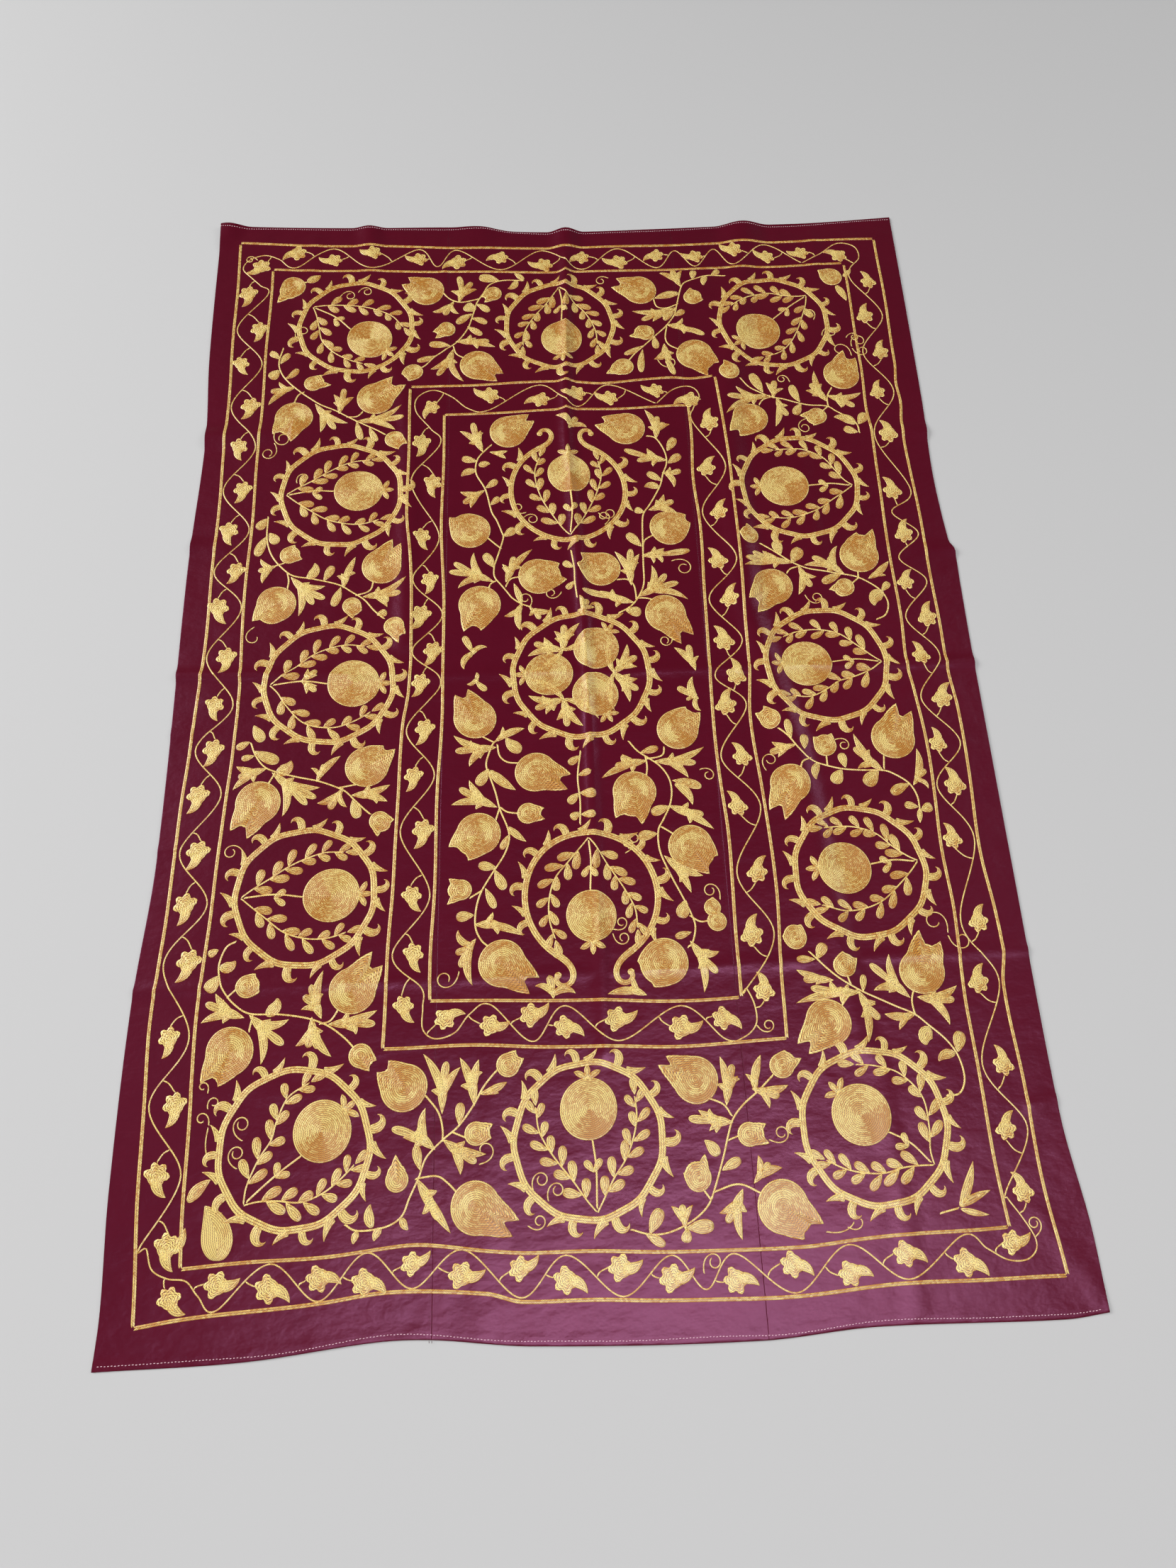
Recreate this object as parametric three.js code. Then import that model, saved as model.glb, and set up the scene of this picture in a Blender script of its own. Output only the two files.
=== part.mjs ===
// A suzani: a cotton cloth of three loom widths sewn side by side, lying face up and almost flat.
// Millimetres, +Z up, +Y towards the cloth's top edge, the origin under the middle of its border.
// The embroidery is thinner than the sheet is uneven, so the solids carry only the ground cloth.
import * as THREE from "three";

// Driving dimensions
const sheetThickness = 1.6; // cotton and the thread on it
const seamGap = 0.3; // between two panels, where the seam draws them together
const widestStepAcross = 64; // between two mesh lines that run along the cloth
const widestStepAlong = 60; // between two mesh lines that run across it
const closestLines = 12; // between any two mesh lines
const slopeParts = [-1, -0.5, 0, 0.5, 1]; // mesh lines over a fold, as parts of its reach
const settlingRounds = 3; // to find a point between four curved edges
const cottonColour = 0x5a1023;
const cottonRoughness = 0.88;

// The four edges: each row is a place where the edge changes course.
const leftEdge = [
  { along: -1031, out: -699 },
  { along: -952, out: -696 },
  { along: -800, out: -702 },
  { along: -544, out: -700 },
  { along: -321, out: -685 },
  { along: 221, out: -686 },
  { along: 491, out: -679 },
  { along: 679, out: -688 },
  { along: 1032, out: -692 },
];
const rightEdge = [
  { along: -1031, out: 700 },
  { along: -906, out: 698 },
  { along: -758, out: 684 },
  { along: -379, out: 685 },
  { along: 3, out: 688 },
  { along: 150, out: 691 },
  { along: 216, out: 692 },
  { along: 236, out: 685 },
  { along: 385, out: 679 },
  { along: 562, out: 686 },
  { along: 1032, out: 692 },
];
const bottomEdge = [
  { along: -702, out: -1022 },
  { along: -499, out: -1020 },
  { along: -320, out: -1005 },
  { along: -245, out: -1006 },
  { along: -110, out: -1020 },
  { along: 207, out: -1029 },
  { along: 369, out: -1020 },
  { along: 638, out: -1024 },
  { along: 702, out: -1018 },
];
const topEdge = [
  { along: -702, out: 1020 },
  { along: -588, out: 1015 },
  { along: -394, out: 1011 },
  { along: -165, out: 1009 },
  { along: -94, out: 998 },
  { along: 41, out: 997 },
  { along: 180, out: 1002 },
  { along: 376, out: 1012 },
  { along: 540, out: 1018 },
  { along: 702, out: 1032 },
];

// The two seams between the loom widths.
const leftSeam = [
  { along: -1031, out: -246 },
  { along: -560, out: -243 },
  { along: 540, out: -229 },
  { along: 1032, out: -232 },
];
const rightSeam = [
  { along: -1031, out: 217 },
  { along: -560, out: 216 },
  { along: 540, out: 223 },
  { along: 1032, out: 226 },
];

// Folds that stand up from the surface: a straight run each, with its rise at both ends and the
// reach of its slope to either side. A run that goes on in the next row shares its end with it.
const folds = [
  { name: "middle, top hem", x0: 10, y0: 1040, rise0: 15, x1: 6, y1: 930, rise1: 6, reach: 38 },
  { name: "middle, upper", x0: 6, y0: 930, rise0: 6, x1: -8, y1: 480, rise1: 4, reach: 24 },
  { name: "middle, centre", x0: -8, y0: 480, rise0: 4, x1: 9, y1: 100, rise1: 4, reach: 24 },
  { name: "middle, lower", x0: 9, y0: 100, rise0: 4, x1: 10, y1: -640, rise1: 2, reach: 22 },
  { name: "right, top hem", x0: 377, y0: 1045, rise0: 15, x1: 372, y1: 930, rise1: 4, reach: 60 },
  { name: "right, upper", x0: 372, y0: 930, rise0: 4, x1: 300, y1: 520, rise1: 6, reach: 44 },
  { name: "right, centre", x0: 300, y0: 520, rise0: 6, x1: 298, y1: 120, rise1: 10, reach: 44 },
  { name: "right, below centre", x0: 298, y0: 120, rise0: 9, x1: 352, y1: -150, rise1: 7, reach: 40 },
  { name: "right, lower", x0: 352, y0: -150, rise0: 7, x1: 396, y1: -640, rise1: 4, reach: 40 },
  { name: "left, top hem", x0: -394, y0: 1040, rise0: 8, x1: -385, y1: 900, rise1: 2, reach: 36 },
  { name: "left, upper", x0: -352, y0: 760, rise0: 2, x1: -300, y1: 500, rise1: 5, reach: 32 },
  { name: "left, centre", x0: -300, y0: 500, rise0: 5, x1: -302, y1: 60, rise1: 5, reach: 32 },
  { name: "left, top ripple", x0: -172, y0: 1040, rise0: 6, x1: -168, y1: 960, rise1: 1, reach: 60 },
  { name: "top left corner", x0: -668, y0: 1045, rise0: 12, x1: -690, y1: 985, rise1: 4, reach: 44 },
  { name: "waist, left", x0: -710, y0: 8, rise0: 7, x1: -236, y1: -6, rise1: 4, reach: 24 },
  { name: "waist, right", x0: -236, y0: -6, rise0: 4, x1: 710, y1: -6, rise1: 7, reach: 24 },
  { name: "lower, left", x0: -710, y0: -519, rise0: 5, x1: -60, y1: -520, rise1: 3, reach: 24 },
  { name: "lower, right", x0: -60, y0: -520, rise0: 3, x1: 710, y1: -508, rise1: 6, reach: 24 },
  { name: "upper, left edge", x0: -710, y0: 492, rise0: 7, x1: -470, y1: 508, rise1: 2, reach: 34 },
  { name: "upper, right edge", x0: 710, y0: 484, rise0: 5, x1: 560, y1: 492, rise1: 1, reach: 26 },
  { name: "right selvedge step", x0: 710, y0: 222, rise0: 6, x1: 630, y1: 224, rise1: 1, reach: 22 },
  { name: "left selvedge tuck", x0: -710, y0: 262, rise0: 5, x1: -630, y1: 258, rise1: 1, reach: 22 },
];

// A smooth curve through a table's rows: each span is a cubic whose slopes come from the rows
// on both sides of its ends.
function follow(rows, along) {
  const last = rows.length - 1;
  const at = Math.min(Math.max(along, rows[0].along), rows[last].along);
  const span = Math.min(rows.findLastIndex((row) => row.along <= at), last - 1);
  const slopeAt = (i) => {
    const before = rows[Math.max(i - 1, 0)];
    const after = rows[Math.min(i + 1, last)];
    return (after.out - before.out) / (after.along - before.along);
  };
  const from = rows[span];
  const to = rows[span + 1];
  const length = to.along - from.along;
  const t = (at - from.along) / length;
  const ease = t * t * (3 - 2 * t);
  const leave = t * (1 - t) ** 2 * slopeAt(span) * length;
  const arrive = t * t * (1 - t) * slopeAt(span + 1) * length;
  return from.out + (to.out - from.out) * ease + leave - arrive;
}

// How far the cloth stands up at a point: the tallest fold there, each with a cosine slope.
function riseAt(x, y) {
  let rise = 0;
  for (const fold of folds) {
    const dx = fold.x1 - fold.x0;
    const dy = fold.y1 - fold.y0;
    const share = ((x - fold.x0) * dx + (y - fold.y0) * dy) / (dx * dx + dy * dy);
    const t = Math.min(Math.max(share, 0), 1);
    const away = Math.hypot(x - fold.x0 - t * dx, y - fold.y0 - t * dy);
    if (away >= fold.reach) continue;
    const crest = fold.rise0 + (fold.rise1 - fold.rise0) * t;
    rise = Math.max(rise, (crest * (1 + Math.cos((Math.PI * away) / fold.reach))) / 2);
  }
  return rise;
}

// Mesh lines over a length: the fold lines that are asked for, then even steps between them.
function meshLines(from, to, widestStep, wanted) {
  const kept = [from];
  const inside = wanted.filter((w) => w > from + closestLines && w < to - closestLines);
  for (const line of inside.sort((a, b) => a - b)) {
    if (line - kept[kept.length - 1] >= closestLines) kept.push(line);
  }
  kept.push(to);
  const lines = [from];
  for (let i = 1; i < kept.length; i++) {
    const width = kept[i] - kept[i - 1];
    const steps = Math.ceil(width / widestStep);
    for (let k = 1; k <= steps; k++) lines.push(kept[i - 1] + (width * k) / steps);
  }
  return lines;
}

// Where the folds that run along or across the cloth need mesh lines: foot, flank and crest.
function foldLines(acrossTheCloth) {
  const wanted = [];
  for (const fold of folds) {
    const runsAcross = Math.abs(fold.x1 - fold.x0) > Math.abs(fold.y1 - fold.y0);
    if (runsAcross !== acrossTheCloth) continue;
    const crest = acrossTheCloth ? (fold.y0 + fold.y1) / 2 : (fold.x0 + fold.x1) / 2;
    for (const part of slopeParts) wanted.push(crest + part * fold.reach);
  }
  return wanted;
}

// One panel: a closed sheet between two edges across and the cloth's bottom and top edges.
function panel(name, leftSide, rightSide, leftGap, rightGap) {
  const leftX = (y) => follow(leftSide, y) + leftGap;
  const rightX = (y) => follow(rightSide, y) - rightGap;
  const width = rightX(0) - leftX(0);
  const bottom = follow(bottomEdge, 0);
  const length = follow(topEdge, 0) - bottom;
  const columns = meshLines(leftX(0), rightX(0), widestStepAcross, foldLines(false));
  const rows = meshLines(bottom, bottom + length, widestStepAlong, foldLines(true));
  const across = columns.map((x) => (x - leftX(0)) / width);
  const along = rows.map((y) => (y - bottom) / length);
  const wide = across.length;
  const long = along.length;
  const positions = [];
  for (const layer of [0, sheetThickness]) {
    for (const v of along) {
      for (const u of across) {
        let x = leftX(0) + u * width;
        let y = 0;
        for (let round = 0; round < settlingRounds; round++) {
          y = follow(bottomEdge, x) * (1 - v) + follow(topEdge, x) * v;
          x = leftX(y) * (1 - u) + rightX(y) * u;
        }
        positions.push(x, y, riseAt(x, y) + layer);
      }
    }
  }
  const index = [];
  const at = (layer, row, column) => (layer * long + row) * wide + column;
  const quad = (a, b, c, d) => index.push(a, b, c, a, c, d);
  for (let r = 0; r + 1 < long; r++) {
    for (let c = 0; c + 1 < wide; c++) {
      quad(at(1, r, c), at(1, r, c + 1), at(1, r + 1, c + 1), at(1, r + 1, c));
      quad(at(0, r, c), at(0, r + 1, c), at(0, r + 1, c + 1), at(0, r, c + 1));
    }
    quad(at(0, r, 0), at(1, r, 0), at(1, r + 1, 0), at(0, r + 1, 0));
    quad(at(0, r, wide - 1), at(0, r + 1, wide - 1), at(1, r + 1, wide - 1), at(1, r, wide - 1));
  }
  for (let c = 0; c + 1 < wide; c++) {
    quad(at(0, 0, c), at(0, 0, c + 1), at(1, 0, c + 1), at(1, 0, c));
    quad(at(0, long - 1, c), at(1, long - 1, c), at(1, long - 1, c + 1), at(0, long - 1, c + 1));
  }
  const geometry = new THREE.BufferGeometry();
  geometry.setAttribute("position", new THREE.Float32BufferAttribute(positions, 3));
  geometry.setIndex(index);
  geometry.computeVertexNormals();
  const cotton = new THREE.MeshStandardMaterial({
    color: cottonColour,
    roughness: cottonRoughness,
    metalness: 0,
  });
  const mesh = new THREE.Mesh(geometry, cotton);
  mesh.name = name;
  return mesh;
}

const suzani = new THREE.Group();
suzani.add(panel("panel_left", leftEdge, leftSeam, 0, seamGap / 2));
suzani.add(panel("panel_centre", leftSeam, rightSeam, seamGap / 2, seamGap / 2));
suzani.add(panel("panel_right", rightSeam, rightEdge, seamGap / 2, 0));

export default suzani;
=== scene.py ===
import bpy
import numpy as np
from mathutils import Matrix, Vector


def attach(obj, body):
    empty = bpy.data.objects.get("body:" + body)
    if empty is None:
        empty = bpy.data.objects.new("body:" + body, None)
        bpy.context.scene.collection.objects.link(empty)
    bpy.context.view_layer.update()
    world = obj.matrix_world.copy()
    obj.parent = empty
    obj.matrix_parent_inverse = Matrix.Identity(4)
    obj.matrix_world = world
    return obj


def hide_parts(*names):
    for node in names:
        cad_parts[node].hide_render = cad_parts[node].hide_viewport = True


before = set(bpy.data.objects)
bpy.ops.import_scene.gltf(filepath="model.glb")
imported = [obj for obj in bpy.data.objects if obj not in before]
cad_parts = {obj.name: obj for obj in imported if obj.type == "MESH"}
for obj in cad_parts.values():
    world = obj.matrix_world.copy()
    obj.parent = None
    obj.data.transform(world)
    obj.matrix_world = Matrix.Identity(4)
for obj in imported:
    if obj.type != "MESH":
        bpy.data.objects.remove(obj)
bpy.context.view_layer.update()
mm = 0.001
print("frame loaded:", sorted(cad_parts))

# The camera stands where the plan's perspective puts it: almost over the cloth's lower third.
viewpoint = {
    "place": (-63.1, -721.5, 1478.2),
    "ahead": (0.0421, 0.3267, -0.9442),
    "up": (0.0314, 0.9441, 0.3281),
    "focalLength": 1338.0,  # in pixels of the photograph's frame
    "frameHeight": 2212,
    "sensor": 36.0,
}


def addCamera(v):
    data = bpy.data.cameras.new("camera")
    data.sensor_fit = "VERTICAL"
    data.sensor_height = v["sensor"]
    data.lens = v["focalLength"] * v["sensor"] / v["frameHeight"]
    data.clip_end = 30
    back = -Vector(v["ahead"]).normalized()
    right = Vector(v["up"]).cross(back).normalized()
    turn = Matrix((right, back.cross(right), back)).transposed().to_4x4()
    camera = bpy.data.objects.new("camera", data)
    camera.matrix_world = Matrix.Translation(Vector(v["place"]) * mm) @ turn
    bpy.context.scene.collection.objects.link(camera)
    bpy.context.scene.camera = camera


addCamera(viewpoint)

# The cloth's outline, in millimetres: (along, out) where each edge changes course.
outline = {
    "left": [(-1031, -699), (-952, -696), (-800, -702), (-544, -700), (-321, -685), (221, -686),
             (491, -679), (679, -688), (1032, -692)],
    "right": [(-1031, 700), (-906, 698), (-758, 684), (-379, 685), (3, 688), (150, 691), (216, 692),
              (236, 685), (385, 679), (562, 686), (1032, 692)],
    "bottom": [(-702, -1022), (-499, -1020), (-320, -1005), (-245, -1006), (-110, -1020),
               (207, -1029), (369, -1020), (638, -1024), (702, -1018)],
    "top": [(-702, 1020), (-588, 1015), (-394, 1011), (-165, 1009), (-94, 998), (41, 997),
            (180, 1002), (376, 1012), (540, 1018), (702, 1032)],
    "leftSeam": [(-1031, -246), (-560, -243), (540, -229), (1032, -232)],
    "rightSeam": [(-1031, 217), (-560, 216), (540, 223), (1032, 226)],
}

# Folds: from x, y, rise to x, y, rise, and the reach of the slope to either side.
folds = [
    (10, 1040, 15, 6, 930, 6, 38), (377, 1045, 15, 372, 930, 4, 60), (372, 930, 4, 300, 520, 6, 44),
    (300, 520, 6, 298, 120, 10, 44), (298, 120, 9, 352, -150, 7, 40), (352, -150, 7, 396, -640, 4, 40),
    (-394, 1040, 8, -385, 900, 2, 36), (-352, 760, 2, -300, 500, 5, 32), (-300, 500, 5, -302, 60, 5, 32),
    (-172, 1040, 6, -168, 960, 1, 60), (-668, 1045, 12, -690, 985, 4, 44),
    (-710, 492, 7, -470, 508, 2, 34), (710, 484, 5, 560, 492, 1, 26), (710, 222, 6, 630, 224, 1, 22),
    (-710, 262, 5, -630, 258, 1, 22),
]

# Creases from lying folded in a cupboard: the same columns, with a sharp crest.
creases = [
    (6, 930, 11, -8, 480, 9, 21), (-8, 480, 9, 9, 100, 7.5, 21), (9, 100, 7.5, 10, -640, 4, 20),
    (-710, 8, 6, -236, -6, 3, 18), (-236, -6, 3, 710, -6, 5, 18),
    (-710, -519, 3, -60, -520, 1.6, 16), (-60, -520, 1.6, 710, -508, 2.6, 16),
]

# Low puckers that are finer than the folds, in the same columns.
puckers = [
    (-640, -46, 1.6, -60, -50, 1.2, 12), (-700, -100, 1.8, -560, -104, 0.4, 14),
    (-700, -300, 1.6, -590, -296, 0.3, 12), (-240, 900, 1.4, -232, 640, 0.8, 14),
    (-500, 980, 1.2, -520, 600, 0.6, 22), (520, 980, 1.4, 500, 640, 0.5, 24),
    (640, -740, 1.8, 700, -730, 1.2, 14), (620, -880, 0.6, 700, -1010, 1.1, 26),
    (430, 480, 1.2, 445, 150, 1.6, 26), (-420, 420, 1.2, -430, 120, 0.6, 26),
    (130, 430, 0.8, 140, 60, 1.0, 26), (-120, -120, 0.8, -130, -480, 1.0, 24),
    (130, -140, 1.0, 120, -480, 1.2, 24), (-620, -660, 1.0, -300, -690, 0.6, 20),
    (420, -650, 1.6, 430, -1000, 1.0, 26), (-150, -640, 0.6, -180, -1000, 0.7, 30),
]

cloth = {
    "thickness": 1.3,
    "hemThickness": 0.25,  # added over the turned-up end
    "hemDepth": 12.0,
    "hemStep": 3.5,  # width of the slope from the hem down to the plain cloth
    "seamGap": 0.06,
    "seamDip": 0.03,  # how far a seam draws the cloth down
    "seamRoll": 1.6,  # reach of the rolled edge
    "pitch": 7.1,  # of the mesh
}


def follow(rows, at):
    # cubic between two rows of a table, with slopes from the rows on both sides of its ends
    a, o = np.array(rows, float).T
    ends = np.arange(len(a))
    before, after = np.maximum(ends - 1, 0), np.minimum(ends + 1, len(a) - 1)
    slope = (o[after] - o[before]) / (a[after] - a[before])
    at = np.clip(at, a[0], a[-1])
    i = np.clip(np.searchsorted(a, at, side="right") - 1, 0, len(a) - 2)
    length = a[i + 1] - a[i]
    t = (at - a[i]) / length
    ease = t * t * (3 - 2 * t)
    return (o[i] + (o[i + 1] - o[i]) * ease + t * (1 - t) ** 2 * slope[i] * length
            - t * t * (1 - t) * slope[i + 1] * length)


def ridges(x, y, table, sharp=False):
    # tallest of the runs: crest * (1 + cos(pi * away / reach)) / 2 inside its reach, or
    # crest * (1 - away / reach) ** 1.6 for a sharp one
    rise = np.zeros_like(x)
    for x0, y0, rise0, x1, y1, rise1, reach in table:
        dx, dy = x1 - x0, y1 - y0
        t = np.clip(((x - x0) * dx + (y - y0) * dy) / (dx * dx + dy * dy), 0, 1)
        away = np.minimum(np.hypot(x - x0 - t * dx, y - y0 - t * dy) / reach, 1)
        slope = (1 - away) ** 1.6 if sharp else (1 + np.cos(np.pi * away)) / 2
        rise = np.maximum(rise, (rise0 + (rise1 - rise0) * t) * slope)
    return rise


def riseAt(x, y):
    # folds or creases, plus puckers, plus a slow swell: 0.35 mm * (2 + sin + sin)
    swell = 0.35 * (2 + np.sin(x / 71 + y / 190) + np.sin(y / 83 - x / 160 + 1.3))
    return np.maximum(ridges(x, y, folds), ridges(x, y, creases, True)) + ridges(x, y, puckers) + swell


def meshFrom(name, verts, faces, material, uv=None, tone=None):
    mesh = bpy.data.meshes.new(name)
    mesh.from_pydata(verts * mm, [], faces)
    mesh.polygons.foreach_set("use_smooth", np.ones(len(faces), bool))
    if uv is not None:
        layer = mesh.uv_layers.new(name="stitch")
        layer.data.foreach_set("uv", uv.astype(np.float32).ravel())
    if tone is not None:
        mark = mesh.attributes.new("tone", "FLOAT_COLOR", "POINT")
        mark.data.foreach_set("color", tone.astype(np.float32).ravel())
    mesh.materials.append(material)
    mesh.update()
    piece = bpy.data.objects.new(name, mesh)
    bpy.context.scene.collection.objects.link(piece)
    return piece


# Materials.
def socket(group, name, kind, way="INPUT", value=None):
    made = group.interface.new_socket(name=name, in_out=way, socket_type=kind)
    if value is not None:
        made.default_value = value


class Wires:
    # short hands for adding nodes to one tree
    def __init__(self, tree):
        self.tree = tree

    def put(self, target, value):
        if isinstance(value, bpy.types.NodeSocket):
            self.tree.links.new(value, target)
        elif value is not None:
            target.default_value = value

    def node(self, kind, inputs=(), **settings):
        made = self.tree.nodes.new(kind)
        for key, value in settings.items():
            setattr(made, key, value)
        for key, value in dict(inputs).items():
            self.put(made.inputs[key], value)
        return made

    def math(self, operation, a, b=None):
        made = self.node("ShaderNodeMath", operation=operation)
        for place, value in zip(made.inputs, (a, b)):
            self.put(place, value)
        return made.outputs[0]

    def ramp(self, value, low, high, toLow=0.0, toHigh=1.0):
        made = self.node("ShaderNodeMapRange", {"Value": value, "From Min": low, "From Max": high,
                                                 "To Min": toLow, "To Max": toHigh})
        return made.outputs[0]

    def mix(self, share, a, b):
        made = self.node("ShaderNodeMix", data_type="RGBA")
        for place, value in ((0, share), (6, a), (7, b)):
            self.put(made.inputs[place], value)
        return made.outputs[2]

    def noise(self, vector, scale, detail=2.0, rough=0.5):
        made = self.node("ShaderNodeTexNoise", {"Vector": vector, "Scale": scale, "Detail": detail,
                                                 "Roughness": rough})
        return made.outputs["Fac"]

    def stretch(self, vector, scale):
        made = self.node("ShaderNodeMapping", {"Vector": vector, "Scale": scale})
        return made.outputs[0]


def newGroup(name):
    group = bpy.data.node_groups.new(name, "ShaderNodeTree")
    w = Wires(group)
    return group, w, w.node("NodeGroupInput"), w.node("NodeGroupOutput")


def chainStitchGroup():
    # Each link is a loop of two strands: strand centre = spread * sin(pi * u) from the row's middle,
    # height = exp of minus the squared distance to the nearer strand; the ground shows in the eye.
    group, w, given, out = newGroup("chainStitch")
    socket(group, "Stitch", "NodeSocketVector")
    socket(group, "Spread", "NodeSocketFloat", value=0.24)
    socket(group, "Strand", "NodeSocketFloat", value=0.17)
    socket(group, "Height", "NodeSocketFloat", "OUTPUT")
    socket(group, "Eye", "NodeSocketFloat", "OUTPUT")
    socket(group, "Lot", "NodeSocketFloat", "OUTPUT")
    parts = w.node("ShaderNodeSeparateXYZ", {0: given.outputs["Stitch"]})
    u, v = parts.outputs[0], parts.outputs[1]
    row = w.math("FLOOR", v)
    shifted = w.math("ADD", u, w.math("MULTIPLY", row, 0.37))
    along = w.math("FRACT", shifted)
    side = w.math("SUBTRACT", w.math("FRACT", v), 0.5)
    arch = w.math("SINE", w.math("MULTIPLY", along, np.pi))
    centre = w.math("MULTIPLY", arch, given.outputs["Spread"])
    away = w.math("SUBTRACT", w.math("ABSOLUTE", side), centre)
    near = w.math("DIVIDE", away, given.outputs["Strand"])
    strand = w.math("EXPONENT", w.math("MULTIPLY", w.math("MULTIPLY", near, near), -1.0))
    eyeAcross = w.ramp(w.math("ABSOLUTE", side), 0.03, 0.13, 1.0, 0.0)
    eyeAlong = w.ramp(arch, 0.72, 0.95)
    eye = w.math("MULTIPLY", eyeAcross, eyeAlong)
    lotAt = w.node("ShaderNodeCombineXYZ", {0: w.math("FLOOR", shifted), 1: row})
    lot = w.node("ShaderNodeTexWhiteNoise", {"Vector": lotAt.outputs[0]}, noise_dimensions="2D")
    w.put(out.inputs["Height"], strand)
    w.put(out.inputs["Eye"], eye)
    w.put(out.inputs["Lot"], lot.outputs["Value"])
    return group


def plainWeaveGroup():
    # Warp and weft threads cross at right angles: height = sine across the warp * sine across the
    # weft * 0.25, plus slubs as noise drawn out along each thread.
    group, w, given, out = newGroup("plainWeave")
    socket(group, "Place", "NodeSocketVector")
    socket(group, "Threads", "NodeSocketFloat", value=1300.0)
    socket(group, "Slubs", "NodeSocketFloat", value=0.5)
    socket(group, "Height", "NodeSocketFloat", "OUTPUT")
    socket(group, "Streaks", "NodeSocketFloat", "OUTPUT")
    parts = w.node("ShaderNodeSeparateXYZ", {0: given.outputs["Place"]})
    pace = w.math("MULTIPLY", given.outputs["Threads"], 3.1416)
    warp = w.math("SINE", w.math("MULTIPLY", parts.outputs[0], pace))
    weft = w.math("SINE", w.math("MULTIPLY", parts.outputs[1], pace))
    cross = w.math("MULTIPLY", warp, weft)
    alongWarp = w.noise(w.stretch(given.outputs["Place"], (420.0, 9.0, 9.0)), 1.0, 3.0)
    alongWeft = w.noise(w.stretch(given.outputs["Place"], (7.0, 480.0, 9.0)), 1.0, 3.0)
    streaks = w.math("ADD", w.math("MULTIPLY", alongWarp, 0.5), w.math("MULTIPLY", alongWeft, 0.5))
    slub = w.math("MULTIPLY", streaks, given.outputs["Slubs"])
    w.put(out.inputs["Height"], w.math("ADD", w.math("MULTIPLY", cross, 0.25), slub))
    w.put(out.inputs["Streaks"], streaks)
    return group


def wearGroup():
    # Soft blotches of handling: two sizes of noise, squeezed to a mask from 0 to 1.
    group, w, given, out = newGroup("wear")
    socket(group, "Place", "NodeSocketVector")
    socket(group, "Size", "NodeSocketFloat", value=3.0)
    socket(group, "Mask", "NodeSocketFloat", "OUTPUT")
    broad = w.noise(given.outputs["Place"], given.outputs["Size"], 4.0, 0.55)
    fine = w.noise(given.outputs["Place"], w.math("MULTIPLY", given.outputs["Size"], 9.0), 3.0, 0.6)
    both = w.math("ADD", w.math("MULTIPLY", broad, 0.7), w.math("MULTIPLY", fine, 0.3))
    w.put(out.inputs["Mask"], w.ramp(both, 0.36, 0.64))
    return group


chainStitch = chainStitchGroup()
plainWeave = plainWeaveGroup()
wear = wearGroup()


def newMaterial(name):
    material = bpy.data.materials.new(name)
    material.use_nodes = True
    w = Wires(material.node_tree)
    shader = material.node_tree.nodes["Principled BSDF"]
    return material, w, shader


cottonLook = {
    "deep": (0.069, 0.0012, 0.0072, 1),
    "worn": (0.090, 0.0022, 0.0105, 1),
    "rubShare": 0.5,
    "streakShare": 0.22,
    "roughness": 0.31,
    "glare": 0.44,
    "glareTint": (1.0, 0.43, 0.82, 1),
    "creaseScale": (14.0, 21.0, 14.0),
    "creaseBump": {"Strength": 0.5, "Distance": 0.0045},
    "weaveBump": {"Strength": 0.2, "Distance": 0.0004},
}


def cottonMaterial(c):
    material, w, shader = newMaterial("maroonCotton")
    place = w.node("ShaderNodeTexCoord").outputs["Object"]
    weave = w.node("ShaderNodeGroup", node_tree=plainWeave)
    w.put(weave.inputs["Place"], place)
    rub = w.node("ShaderNodeGroup", node_tree=wear)
    w.put(rub.inputs["Place"], place)
    streaked = w.ramp(weave.outputs["Streaks"], 0.3, 0.7)
    rubbed = w.math("MULTIPLY", rub.outputs["Mask"], c["rubShare"])
    share = w.math("ADD", rubbed, w.math("MULTIPLY", streaked, c["streakShare"]))
    w.put(shader.inputs["Base Color"], w.mix(share, c["deep"], c["worn"]))
    shader.inputs["Roughness"].default_value = c["roughness"]
    shader.inputs["Specular IOR Level"].default_value = c["glare"]
    shader.inputs["Specular Tint"].default_value = c["glareTint"]
    crease = w.noise(w.stretch(place, c["creaseScale"]), 1.0, 4.0, 0.55)
    soft = w.node("ShaderNodeBump", {"Height": crease, **c["creaseBump"]})
    fine = {"Height": weave.outputs["Height"], "Normal": soft.outputs[0], **c["weaveBump"]}
    bump = w.node("ShaderNodeBump", fine)
    w.put(shader.inputs["Normal"], bump.outputs[0])
    return material


threadLook = {
    "ochre": (0.60, 0.255, 0.024, 1),
    "cream": (1.0, 0.79, 0.26, 1),
    "shade": (0.17, 0.05, 0.008, 1),  # painted shade in the grooves between the strands
    "ground": (0.045, 0.006, 0.010, 1),  # the ground cloth in the eye of a loop, painted darker than the cloth as shade in the hole
    "lotShare": 0.85,
    "rubShare": 0.28,
    "rubSize": 22.0,
    # ramp from strand height to the painted shade between strands
    "grooveShade": (0.08, 0.64, 0.95, 0.0),
    "eye": 0.95,
    "roughness": 0.37,
    "glare": 0.8,
    "glareTint": (1.0, 0.91, 0.7, 1),
    "coat": 0.7,
    "coatRoughness": 0.32,
    "coatTint": (1.0, 0.97, 0.9, 1),
    "stitchBump": {"Strength": 0.7, "Distance": 0.0006},
}


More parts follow.
